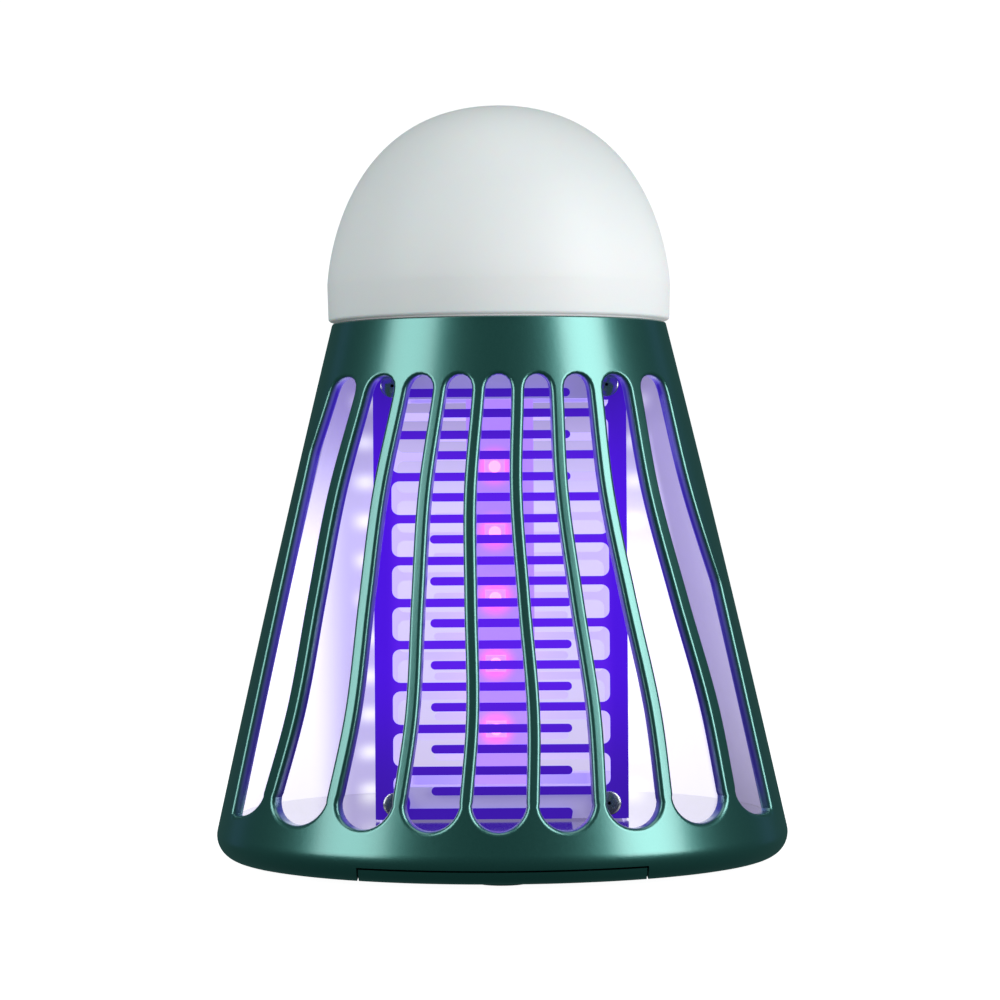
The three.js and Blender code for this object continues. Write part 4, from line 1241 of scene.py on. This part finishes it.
    def dress(self, shell: bpy.types.Object) -> None:
        """Paint the cage and let it stand for its node."""
        paint = HousingPaint(self.cone).material()
        dress(shell, paint, Body.ROOT, "housing_green", "cage")
        dress(self.posts, paint, Body.ROOT, "housing_green")


def inside_ring(points: np.ndarray, ring: np.ndarray) -> np.ndarray:
    """Which points lie inside a closed outline.

    Args:
        points: Rows of two coordinates.
        ring: The outline's rows.

    Returns:
        A mask.
    """
    low, high = ring.min(0), ring.max(0)
    near = np.where(((points >= low) & (points <= high)).all(axis=1))[0]
    mask = np.zeros(len(points), bool)
    if not len(near):
        return mask
    p = points[near]
    a, b = ring, np.roll(ring, -1, 0)
    crosses = (a[None, :, 1] > p[:, 1:2]) != (b[None, :, 1] > p[:, 1:2])
    rise = np.where(np.abs(b[:, 1] - a[:, 1]) < 1e-12, 1e-12, b[:, 1] - a[:, 1])
    x = a[None, :, 0] + (p[:, 1:2] - a[None, :, 1]) * ((b - a)[None, :, 0] / rise[None, :])
    mask[near] = (crosses & (p[:, 0:1] < x)).sum(axis=1) % 2 == 1
    return mask


# ------------------------------------------------------------------ dome and lamp
@dataclass
class LampHead:
    """The opal dome with the lamp board under it."""

    radius: float = 28.9
    foot_radius: float = 28.75
    foot_z: float = 90.8
    widest_z: float = 96.65
    top_z: float = 127.1
    crown: float = 0.91
    side: float = 3.0
    wall: float = 1.6
    spigot: float = 25.8
    spigot_wall: float = 1.4
    spigot_foot: float = 87.8
    led_ring: float = 12.0
    led_z: float = 102.8

    def curve(self, inset: float, steps: int = 48) -> list[Point]:
        """The dome's section from its crown to its widest ring.

        Args:
            inset: How far inside the outer face.
            steps: Its steps.

        Returns:
            Points of radius and height.
        """
        r, top = self.radius - inset, self.top_z - inset
        handles = ((0.0, top), (self.crown * r, top), (r, self.widest_z + self.side), (r, self.widest_z))
        out = []
        for t in np.linspace(0, 1, steps + 1):
            k = ((1 - t) ** 3, 3 * t * (1 - t) ** 2, 3 * t * t * (1 - t), t ** 3)
            out.append((sum(a * p[0] for a, p in zip(k, handles)), sum(a * p[1] for a, p in zip(k, handles))))
        return out

    def dome(self) -> bpy.types.Object:
        """Build the dome's shell with its spigot."""
        inner_spigot = self.spigot - self.spigot_wall
        shoulder = self.foot_z + self.wall
        f = 0.5
        profile = self.curve(0.0)
        profile += [(self.foot_radius, self.foot_z + f)] + arc(self.foot_radius - f, self.foot_z + f, f, -15, -90, 5)
        profile += [(self.spigot, self.foot_z), (self.spigot, self.spigot_foot), (inner_spigot, self.spigot_foot),
                    (inner_spigot, shoulder),
                    (self.radius - self.wall, shoulder + self.radius - self.wall - inner_spigot)]
        profile += self.curve(self.wall)[::-1]
        return smooth(turned("opal_dome", profile, 192), 40.0)

    def build(self) -> dict[str, bpy.types.Object]:
        """Build the dome and the lamp's emitters.

        Returns:
            The pieces by name.
        """
        ring = [(self.led_ring * math.cos(a), self.led_ring * math.sin(a), self.led_z)
                for a in np.radians(np.arange(0, 360, 60))]
        flat = [(0.0, 0.0, 0.0)] * len(ring)
        return {"dome": self.dome(),
                "leds": Pattern("lamp_leds", Shape.BOX, 5.0, 1.1, 5.0, ring, flat).build(LAMP_EMITTER.material())}

    def dress(self, made: dict[str, bpy.types.Object]) -> None:
        """Give the pieces their finishes and nodes."""
        dress(made["dome"], OpalDome().material(), Body.ROOT, "opal_dome", "lamp_diffuser")
        dress(made["leds"], LAMP_EMITTER.material(), Body.ROOT, "lamp_emitter",
              *[f"lamp_led_{i}" for i in range(1, 7)])


# ------------------------------------------------------------------ the grid
@dataclass
class Grid:
    """Four angle combs, their holders, screws, and the ultraviolet board."""

    half_x: float = 20.8
    half_y: float = 16.0
    sheet: float = 0.6
    rail: float = 2.95
    foot: float = 8.3
    top: float = 82.1
    finger: float = 1.4
    finger_pitch: float = 6.9
    finger_top: float = 78.4
    stagger: float = 3.35
    fingers: int = 10
    tip_gap: float = 6.25
    bar_top: float = 10.1
    lug: float = 2.5
    lug_inset: float = 3.2
    screw_levels: tuple[float, float] = (79.6, 10.9)
    root: float = 1.3
    leds: tuple[float, ...] = (66.3, 55.25, 44.2, 33.15, 22.1)

    def _web(self, x: float, y: float, down: bool, r: float) -> list[Point]:
        """The small curved web in the corner between a rail and a finger.

        Args:
            x: The rail's inner edge.
            y: The finger's edge.
            down: Whether the web hangs below the finger.
            r: The web's radius.

        Returns:
            Its outline.
        """
        s = -1 if down else 1
        bend = arc(x + r, y + s * r, r, 180, 270 if s > 0 else 90, 6)
        return [(x - 0.3, y - s * 0.3), (x - 0.3, y + s * r)] + bend + [(x + r, y - s * 0.3)]

    def flange(self, width: float, staggered: bool, lugs: bool) -> list[list[Point]]:
        """One flat comb's outlines, from x = 0 at the corner inwards.

        Args:
            width: The distance between the two corners.
            staggered: Whether its fingers sit lower, without a bottom bar.
            lugs: Whether it has screw lugs.

        Returns:
            Overlapping outlines.
        """
        tip, half = width - self.rail - self.tip_gap, self.finger / 2
        drop = self.stagger if staggered else 0.0
        mid = (self.foot + self.top) / 2
        parts = [[(x + self.rail / 2, y + mid) for x, y in rounded(self.rail / 2, (self.top - self.foot) / 2, 0.5)]]
        for i in range(self.fingers):
            z = self.finger_top - drop - i * self.finger_pitch
            parts.append([(0.4, z - half)] + arc(tip - half, z, half, -90, 90, 10) + [(0.4, z + half)])
            parts += [self._web(self.rail, z - half, True, self.root),
                      self._web(self.rail, z + half, False, self.root)]
        if not staggered:
            parts.append([(0.4, self.foot), (tip - 0.2, self.foot)]
                         + arc(tip - half, self.bar_top - half, half, 0, 90, 6) + [(0.4, self.bar_top)])
            parts.append(self._web(self.rail, self.bar_top, False, self.root))
        if lugs:
            parts += [arc(self.lug_inset, z, self.lug, 0, 345, 46) for z in self.screw_levels]
        return parts

    def comb(self, name: str, sx: int, sy: int) -> bpy.types.Object:
        """One angle comb.

        Args:
            name: The object's name.
            sx: Which side in X.
            sy: Which side in Y; -1 is the front.

        Returns:
            The comb.
        """
        staggered = sx * sy < 0
        flip = Matrix.Diagonal((-sx, -sy, 1, 1))
        front = Matrix(((1, 0, 0, -self.half_x), (0, 0, 1, -self.half_y), (0, 1, 0, 0), (0, 0, 0, 1)))
        side = Matrix(((0, 0, 1, -self.half_x), (1, 0, 0, -self.half_y), (0, 1, 0, 0), (0, 0, 0, 1)))
        pieces = [plate("front", self.flange(2 * self.half_x, staggered, True), 0, self.sheet, flip @ front),
                  plate("side", self.flange(2 * self.half_y, staggered, False), 0, self.sheet, flip @ side)]
        body = cut_with(pieces[0], [pieces[1]], "UNION")
        body.name = name
        return smooth(bevelled(body, 0.1, 1, 60.0), 30.0)

    def holder(self, name: str, low: float, high: float, spigot: Optional[tuple[float, float]]) -> bpy.types.Object:
        """A moulded holder that the combs screw to.

        Args:
            name: The object's name.
            low: Its foot.
            high: Its top.
            spigot: The radius and top of the round part above, if it has one.

        Returns:
            The holder.
        """
        inset = self.sheet + 0.3
        hx, hy = self.half_x - inset, self.half_y - inset
        block = plate(name, [rounded(hx, hy, 1.0)], low, high)
        if spigot:
            pocket = plate("pocket", [rounded(hx - 4.6, hy - 4.6, 1.0)], low - 1, high - 1.5)
            seat = plate("seat", [rounded(5.95, 1.1, 0.3)], high - 2, high - 0.5)
            disc = turned("spigot", [(0.0, high - 0.7), (spigot[0], high - 0.7), (spigot[0], spigot[1]),
                                     (0.0, spigot[1])], 96)
            cut_with(block, [disc], "UNION")
        else:
            pocket = plate("pocket", [rounded(hx - 4.6, hy - 4.6, 1.0)], low + 2.5, high + 1)
            seat = plate("seat", [rounded(5.95, 1.1, 0.3)], low + 1.5, low + 3)
        cut_with(block, [pocket, seat])
        return smooth(bevelled(block, 0.3, 3, 50.0), 30.0)

    def build(self) -> dict[str, bpy.types.Object]:
        """Build the grid's pieces.

        Returns:
            The pieces by name.
        """
        made = {f"comb_{face}_{side}": self.comb(f"{face}_{side}_comb", sx, sy)
                for face, sy in (("front", -1), ("rear", 1)) for side, sx in (("left", -1), ("right", 1))}
        x = self.half_x - self.lug_inset
        spots, turns = [], []
        for sy, turn in ((-1, 90.0), (1, -90.0)):
            for z in self.screw_levels:
                for sx in (-1, 1):
                    spots.append((sx * x, sy * (self.half_y + 0.3), z))
                    turns.append((turn, 0.0, 0.0))
        made["screws"] = Pattern("comb_screws", Shape.SCREW, 4.0, 0.9, 4.0, spots, turns).build(SCREW.material())
        bodies = [(-0.9, -1.1, z) for z in self.leds]
        made["led_bodies"] = Pattern("uv_led_bodies", Shape.BOX, 3.5, 1.0, 2.8, bodies,
                                     [(90.0, 0.0, 0.0)] * len(bodies)).build(UV_BODY.material())
        lenses = [(-0.9, -2.1, z) for z in self.leds]
        made["led_lenses"] = Pattern("uv_led_lenses", Shape.LENS, 2.0, 0.5, 2.0, lenses,
                                     [(90.0, 0.0, 0.0)] * len(lenses)).build(UV_LENS.material())
        made["upper"] = self.holder("upper_holder_white", 77.4, 82.9, (20.6, 85.6))
        made["lower"] = self.holder("lower_holder_white", 8.3, 13.6, None)
        return made

    def dress(self, made: dict[str, bpy.types.Object]) -> None:
        """Give the pieces their finishes and nodes."""
        steel = GridSteel().material()
        for node in ("comb_front_left", "comb_front_right", "comb_rear_left", "comb_rear_right"):
            dress(made[node], steel, Body.ROOT, "grid_steel", node)
        names = [f"comb_screw_{f}_{l}_{s}" for f in ("front", "rear") for l in ("top", "bottom")
                 for s in ("left", "right")]
        dress(made["screws"], SCREW.material(), Body.ROOT, "screw_steel", *names)
        dress(made["led_bodies"], UV_BODY.material(), Body.ROOT, "uv_emitter", *[f"uv_led_{i}" for i in range(1, 6)])
        dress(made["led_lenses"], UV_LENS.material(), Body.ROOT, "uv_emitter")
        dress(made["upper"], LIT_WHITE.material(), Body.ROOT, "white_plastic", "upper_holder")
        dress(made["lower"], LIT_WHITE.material(), Body.ROOT, "white_plastic", "lower_holder")


# ------------------------------------------------------------------ the chamber behind the grid
@dataclass
class Chamber:
    """The white reflector behind the grid and the dark floor under it."""

    cone: ConeWall = field(default_factory=ConeWall)
    clear: float = 0.45
    sheet: float = 0.8
    foot: float = 8.02
    top: float = 81.9
    front: float = 84.0
    floor: tuple[float, float] = (6.8, 8.0)

    def build(self) -> dict[str, bpy.types.Object]:
        """Build the reflector and floor.

        Returns:
            The pieces by name.
        """
        heights = np.linspace(self.foot, self.top, 24)
        outer = [(float(self.cone.radius(z)) - self.cone.wall - self.clear, float(z)) for z in heights]
        inner = [(r - self.sheet, z) for r, z in outer[::-1]]
        wall = turned("reflector_sheet", outer + inner, 160, (self.front, 360.0 - self.front))
        low, high = self.floor
        r = float(self.cone.radius(high)) - self.cone.wall - self.clear
        disc = turned("chamber_floor_disc", [(0.0, low), (r - 0.2, low), (r, low + 0.2), (r, high - 0.05),
                                             (r - 0.05, high), (0.0, high)], 160)
        return {"reflector": smooth(wall, 40.0), "floor": smooth(disc, 30.0)}

    def dress(self, made: dict[str, bpy.types.Object]) -> None:
        """Give the pieces their finishes and nodes."""
        dress(made["reflector"], ReflectorSheet().material(), Body.ROOT, "reflector_white", "reflector")
        dress(made["floor"], FLOOR_BLACK.material(), Body.ROOT, "black_plastic", "chamber_floor")


# ------------------------------------------------------------------ base, port and buttons
@dataclass
class Base:
    """The tray under the lantern, its feet and screws, the charging cover and the two buttons."""

    cone: ConeWall = field(default_factory=ConeWall)
    gap: float = 0.3
    tray_top: float = 2.6
    foot_radius: float = 4.2
    foot_ring: float = 35.02
    boss_inset: float = 4.6
    boss_angle: float = 30.0
    port_z: float = 5.0
    seat_y: float = 46.5
    cover: Point = (6.0, 2.0)
    socket: Point = (4.45, 1.5)
    button: Point = (3.5, 1.6)
    button_angle: float = 24.0
    button_inner: float = 43.2
    proud: float = 0.6
    leg: tuple[float, float] = (18.2, 22.7)
    head: float = 0.9

    @property
    def boss_spots(self) -> list[Point]:
        """Where the four tray screws are."""
        ring, a = self.cone.opening - self.gap - self.boss_inset, math.radians(self.boss_angle)
        return [(sx * ring * math.cos(a), sy * ring * math.sin(a)) for sx, sy in ((1, 1), (-1, 1), (-1, -1), (1, -1))]

    def openings(self) -> list[bpy.types.Object]:
        """Tools that cut the cage's base: bail notch, cover pocket, port and button holes."""
        c, g = self.cone, self.gap
        reach = self.leg[1] + g
        inner = -c.opening * math.cos(math.asin(reach / c.opening)) + c.wall
        notch = plate("notch", [[(-reach, -60.0), (reach, -60.0), (reach, inner), (-reach, inner)]], -5.0, 3.3)
        pocket = plate("pocket", [pill(self.cover[0] + g, self.cover[1] + g)], self.seat_y, 60.0,
                       facing(0.0, self.port_z))
        port = plate("port", [pill(self.socket[0] + g, self.socket[1] + g)], self.seat_y - 4.4, 60.0,
                     facing(0.0, self.port_z))
        holes = [plate("button_hole", [pill(self.button[0] + g, self.button[1] + g)], c.opening, 60.0,
                       facing(turn, self.port_z)) for turn in (self.button_angle, -self.button_angle)]
        return [notch, pocket, port, *holes]

    def posts(self) -> list[bpy.types.Object]:
        """The screw posts inside the cage and the frame behind the port."""
        made = []
        for x, y in self.boss_spots:
            post = plate("post", [arc(x, y, 2.6, 0, 345, 23)], self.tray_top + self.gap, 6.5)
            made.append(cut_with(post, [plate("hole", [arc(x, y, 1.2, 0, 330, 11)], 1.0, 6.0)]))
        block = plate("port_frame", [[(-8.5, 43.1), (8.5, 43.1), (8.5, 46.4), (-8.5, 46.4)]], 2.9, 6.5)
        port = plate("port", [pill(self.socket[0] + self.gap, self.socket[1] + self.gap)], 40.0, 50.0,
                     facing(0.0, self.port_z))
        return made + [cut_with(block, [port])]

    def tray(self) -> bpy.types.Object:
        """The tray with its raised channels for the bail's legs."""
        c, g = self.cone, self.gap
        r = c.opening - g
        foot, cover = c.foot_z, 1.2
        roof = c.foot_z + 1.4 + 1.4 + g
        rear = 1.4 + g
        bevel = 0.35
        disc = turned("tray", [(0.0, foot), (r - bevel, foot), (r, foot + bevel), (r, self.tray_top),
                               (0.0, self.tray_top)], 160)
        tools, lids = [], []
        for s in (-1, 1):
            x0, x1 = sorted((s * self.leg[0], s * self.leg[1]))
            deep = -math.sqrt(r * r - (self.leg[1] + g + cover) ** 2) + 0.05
            lid = [(x0 - g - cover, deep), (x1 + g + cover, deep), (x1 + g + cover, rear + cover),
                   (x0 - g - cover, rear + cover)]
            lids.append(plate("lid", [lid], foot + 0.5, roof + cover))
            slot = [(x0 - g, -r - 1), (x1 + g, -r - 1), (x1 + g, rear), (x0 - g, rear)]
            tools.append(plate("channel", [slot], foot - 1, roof))
        for x, y in self.boss_spots:
            tools.append(plate("seat", [arc(x, y, 2.3, 0, 350, 35)], -1.0, 2.0))
        for x, y in self._feet():
            tools.append(plate("seat", [arc(x, y, self.foot_radius + g, 0, 350, 47)], -1.0, 1.8))
        cut_with(disc, lids, "UNION")
        return smooth(cut_with(disc, tools), 30.0)

    def _feet(self) -> list[Point]:
        """Where the feet are."""
        r = self.foot_ring
        return [(r, 0.0), (0.0, r), (-r, 0.0), (0.0, -r)]

    def envelope(self, name: str = "envelope") -> bpy.types.Object:
        """The cage's outside up to above the base, filled."""
        c = self.cone
        bend = arc(c.centre_r, c.centre_z, c.corner, -90, math.degrees(c.lean), 16)
        top = [(float(c.radius(z)), float(z)) for z in (8.0, 12.0)]
        return turned(name, [(0.0, c.foot_z)] + bend + top + [(0.0, 12.0)], 360)

    def cover_plug(self) -> bpy.types.Object:
        """The rubber cover, flush with the cage."""
        block = plate("port_cover", [pill(*self.cover)], self.seat_y + self.gap, 60.0, facing(0.0, self.port_z))
        cut_with(block, [self.envelope()], "INTERSECT")
        return smooth(bevelled(block, 0.25, 3, 50.0), 30.0)

    def button_cap(self, name: str, turn: float) -> bpy.types.Object:
        """One button, with its stop ears.

        Args:
            name: The object's name.
            turn: Its bearing from the rear, in degrees.

        Returns:
            The button.
        """
        face = float(self.cone.radius(self.port_z)) + self.proud
        cap = plate(name, [pill(*self.button)], self.button_inner, face, facing(turn, self.port_z))
        ears = plate("ears", [pill(self.button[0] + 0.7, self.button[1])], self.button_inner, 44.4,
                     facing(turn, self.port_z))
        cut_with(cap, [ears], "UNION")
        return smooth(bevelled(cap, 0.45, 4, 50.0), 35.0)

    def build(self) -> dict[str, bpy.types.Object]:
        """Build the base's pieces.

        Returns:
            The pieces by name.
        """
        spots = [(x, y, self.cone.foot_z + self.head) for x, y in self.boss_spots]
        feet = [(x, y, 0.0) for x, y in self._feet()]
        return {
            "tray": self.tray(),
            "screws": Pattern("base_screws", Shape.SCREW, 4.0, self.head, 4.2, spots, [(180.0, 0.0, 0.0)] * 4)
            .build(SCREW.material()),
            "feet": Pattern("base_feet", Shape.PAD, 2 * self.foot_radius, 1.5, 0, feet, [(0.0, 0.0, 0.0)] * 4)
            .build(RUBBER.material()),
            "cover": self.cover_plug(),
            "zapper": self.button_cap("zapper_cap", self.button_angle),
            "lamp": self.button_cap("lamp_cap", -self.button_angle),
        }

    def dress(self, made: dict[str, bpy.types.Object]) -> None:
        """Give the pieces their finishes, bodies and nodes."""
        dress(made["tray"], BASE_GREEN.material(), Body.ROOT, "base_green", "base_tray")
        dress(made["screws"], SCREW.material(), Body.ROOT, "screw_steel", *[f"base_screw_{i}" for i in range(1, 5)])
        dress(made["feet"], RUBBER.material(), Body.ROOT, "rubber", *[f"foot_{i}" for i in range(1, 5)])
        dress(made["cover"], RUBBER.material(), Body.COVER, "rubber", "usb_cover")
        dress(made["zapper"], RUBBER.material(), Body.ZAPPER, "rubber", "zapper_button")
        dress(made["lamp"], RUBBER.material(), Body.LAMP, "rubber", "lamp_button")


@dataclass
class Bail:
    """The hanging bail folded flush into the base."""

    base: Base = field(default_factory=Base)
    thick: float = 2.2
    leg_wide: float = 4.5
    pivot_z: float = 2.2
    eye: float = 1.4

    @property
    def legs(self) -> list[Point]:
        """Each leg's lower and higher X."""
        half = self.base.leg[1]
        return [(-half, self.leg_wide - half), (half - self.leg_wide, half)]

    def build(self) -> bpy.types.Object:
        """Build the bail.

        Returns:
            The bail.
        """
        c, half = self.base.cone, self.base.leg[1]
        low, high = c.foot_z, c.foot_z + self.thick
        inner = c.opening
        reach = math.degrees(math.asin(half / inner))
        arch = arc(0, 0, inner, -90 - reach, -90 + reach, 40)
        shapes = [[(-half, -60.0), (half, -60.0)] + arch[::-1]]
        end = -math.sqrt(inner ** 2 - half ** 2) - self.leg_wide
        shapes += [[(x0, end), (x1, end), (x1, 0.0), (x0, 0.0)] for x0, x1 in self.legs]
        body = plate("hanging_bail", shapes, low - 1, high)
        cut_with(body, [self.base.envelope()], "INTERSECT")
        side = Matrix(((0, 0, 1, 0), (1, 0, 0, 0), (0, 1, 0, self.pivot_z), (0, 0, 0, 1)))
        rods = []
        for x0, x1 in self.legs:
            rods.append((plate("eye", [arc(0, 0, self.eye, 0, 352, 44)], x0, x1, side),
                         plate("hole", [arc(0, 0, 0.9, 0, 345, 23)], x0 - 1, x1 + 1, side)))
        cut_with(body, [eye for eye, _ in rods], "UNION")
        cut_with(body, [hole for _, hole in rods])
        smooth(body, 30.0)
        true_normals(body, c)
        return body

    def dress(self, body: bpy.types.Object) -> None:
        """Paint the bail as the cage is."""
        dress(body, HousingPaint(self.base.cone).material(), Body.BAIL, "housing_green", "bail")


# ------------------------------------------------------------------ what stays as the frame has it
@dataclass
class InnerParts:
    """The frame's own nodes that keep their shape and get a finish."""

    finishes: dict[str, Look] = field(default_factory=lambda: {
        "deck": WHITE, "deck_screw_1": SCREW, "deck_screw_2": SCREW, "deck_screw_3": SCREW,
        "lamp_pedestal": WHITE, "lamp_board": WHITE, "hv_board": CIRCUIT, "hv_transformer": BLACK,
        "hv_capacitor": FOIL, "uv_board": LureBoard(), "battery": FOIL, "charge_board": CIRCUIT,
        "usb_socket": SCREW, "zapper_switch": FOIL, "lamp_switch": FOIL, "bail_pin_left": SCREW,
        "bail_pin_right": SCREW})

    def dress(self, nodes: dict[str, bpy.types.Object]) -> None:
        """Give each node its finish.

        Args:
            nodes: The frame's nodes.
        """
        for name, finish in self.finishes.items():
            piece = nodes[name]
            piece.data.materials.clear()
            piece.data.materials.append(finish.material())
            LOG.info("%s: %s", name, finish.name)


# ------------------------------------------------------------------ studio
@dataclass
class Studio:
    """The pale floor, soft lights and camera."""

    distance: float = 591.0
    camera_z: float = 63.7
    view_width: float = 168.86
    shift: float = -0.018
    roll: float = 0.39

    def lamp(self, name: str, bearing: float, height: float, far: float, size: Point, power: float,
             colour: tuple[float, float, float] = (1, 1, 1), aim: float = 60.0) -> bpy.types.Object:
        """Add a soft rectangular light.

        Args:
            name: The light's name.
            bearing: Degrees from the front towards +X.
            height: Its height.
            far: Its distance from the axis.
            size: Its width and height.
            power: Its watts.
            colour: Its colour.
            aim: The height that it points at.

        Returns:
            The light.
        """
        data = bpy.data.lights.new(name, "AREA")
        data.shape = "RECTANGLE"
        data.size, data.size_y = size[0] * MM, size[1] * MM
        data.energy, data.color = power, colour
        lamp = bpy.data.objects.new(name, data)
        a = math.radians(bearing)
        lamp.location = Vector((math.sin(a) * far, -math.cos(a) * far, height)) * MM
        away = lamp.location - Vector((0, 0, aim * MM))
        lamp.rotation_euler = away.to_track_quat("Z", "Y").to_euler()
        lamp.visible_camera = False
        bpy.context.scene.collection.objects.link(lamp)
        return lamp

    def lights(self) -> None:
        """Add the two tall side lights, the top light, the blue rims and the lamp inside."""
        self.lamp("left_strip", -62, 290, 520, (330, 620), 1.75, (0.97, 1.0, 1.0))
        self.lamp("right_strip", 60, 290, 520, (310, 620), 2.5, (0.98, 1.0, 1.0))
        self.lamp("top", 0, 620, 40, (420, 420), 0.55)
        self.lamp("rim_left", -128, 150, 420, (90, 420), 0.012, (0.25, 0.4, 1.0))
        self.lamp("rim_right", 128, 150, 420, (90, 420), 0.012, (0.25, 0.4, 1.0))
        for x, y in ((-9, -8), (9, -8), (-9, 8), (9, 8)):
            data = bpy.data.lights.new("glow", "POINT")
            data.energy, data.color, data.shadow_soft_size = 0.0013, (0.36, 0.22, 1.0), 0.004
            for z in (25, 45, 65):
                spot = bpy.data.objects.new("glow", data)
                spot.location = Vector((x, y, z)) * MM
                spot.visible_camera = False
                spot.visible_glossy = False
                bpy.context.scene.collection.objects.link(spot)

    def floor(self) -> None:
        """Add the pale floor, which sweeps up all round."""
        profile = [(0.0, 0.0), (300.0, 0.0), (700.0, 0.0)] + arc(700.0, 500.0, 500.0, -80, 0, 10) + [(1200.0, 1500.0)]
        angles = np.radians(np.arange(0, 360, 7.5))
        n = len(profile)
        verts = [(r * math.cos(a) * MM, r * math.sin(a) * MM, z * MM) for a in angles for r, z in profile]
        faces = [(i * n + j, i * n + j + 1, (i + 1) % len(angles) * n + j + 1, (i + 1) % len(angles) * n + j)
                 for i in range(len(angles)) for j in range(n - 1)]
        mesh = bpy.data.meshes.new("floor")
        mesh.from_pydata(verts, [], faces)
        bowl = bpy.data.objects.new("floor", mesh)
        bpy.context.scene.collection.objects.link(bowl)
        shader = Shader("pale_floor")
        shader.constant("Roughness", 0.9)
        shader.link(shader.mix(shader.noise(2.0), (0.50, 0.50, 0.50), (0.52, 0.52, 0.52)),
                    shader.bsdf.inputs["Base Color"])
        shader.bsdf.inputs["Emission Color"].default_value = (1, 1, 1, 1)
        shader.constant("Emission Strength", 0.97)
        mesh.materials.append(shader.material)
        mesh.shade_smooth()
        bowl.visible_glossy = bowl.visible_diffuse = bowl.visible_shadow = False

    def world(self) -> None:
        """Set a bright background with a dimmer surrounding light."""
        world = bpy.data.worlds.new("studio")
        bpy.context.scene.world = world
        world.use_nodes = True
        tree = world.node_tree
        out = tree.nodes["World Output"]
        seen, around = tree.nodes["Background"], tree.nodes.new("ShaderNodeBackground")
        seen.inputs["Color"].default_value = (1.0, 1.0, 1.0, 1)
        around.inputs["Color"].default_value = (0.36, 0.90, 0.84, 1)
        around.inputs["Strength"].default_value = 0.07
        path, mix = tree.nodes.new("ShaderNodeLightPath"), tree.nodes.new("ShaderNodeMixShader")
        tree.links.new(path.outputs["Is Camera Ray"], mix.inputs[0])
        tree.links.new(around.outputs[0], mix.inputs[1])
        tree.links.new(seen.outputs[0], mix.inputs[2])
        tree.links.new(mix.outputs[0], out.inputs["Surface"])

    def camera(self) -> None:
        """Add the level camera."""
        data = bpy.data.cameras.new("camera")
        data.sensor_width = 36.0
        data.lens = 36.0 * self.distance / self.view_width
        data.shift_y = self.shift
        data.clip_start, data.clip_end = 0.05, 20.0
        camera = bpy.data.objects.new("camera", data)
        camera.matrix_world = (Matrix.Translation(Vector((0, -self.distance, self.camera_z)) * MM)
                               @ Matrix.Rotation(math.radians(90), 4, "X")
                               @ Matrix.Rotation(math.radians(-self.roll), 4, "Z"))
        bpy.context.scene.collection.objects.link(camera)
        bpy.context.scene.camera = camera

    def build(self) -> None:
        """Build the whole set."""
        self.camera()
        self.floor()
        self.world()
        self.lights()
        bpy.context.scene.view_settings.view_transform = "Standard"


def main() -> None:
    """Build every sub-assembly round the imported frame."""
    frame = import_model()
    Studio().build()
    cone = ConeWall()
    base = Base(cone)
    cage = Cage(cone)
    cage.dress(cage.build(base.openings(), base.posts()))
    head = LampHead()
    head.dress(head.build())
    grid = Grid()
    grid.dress(grid.build())
    chamber = Chamber(cone)
    chamber.dress(chamber.build())
    base.dress(base.build())
    bail = Bail(base)
    bail.dress(bail.build())
    InnerParts().dress(frame["nodes"])


if __name__ == "__main__":
    main()
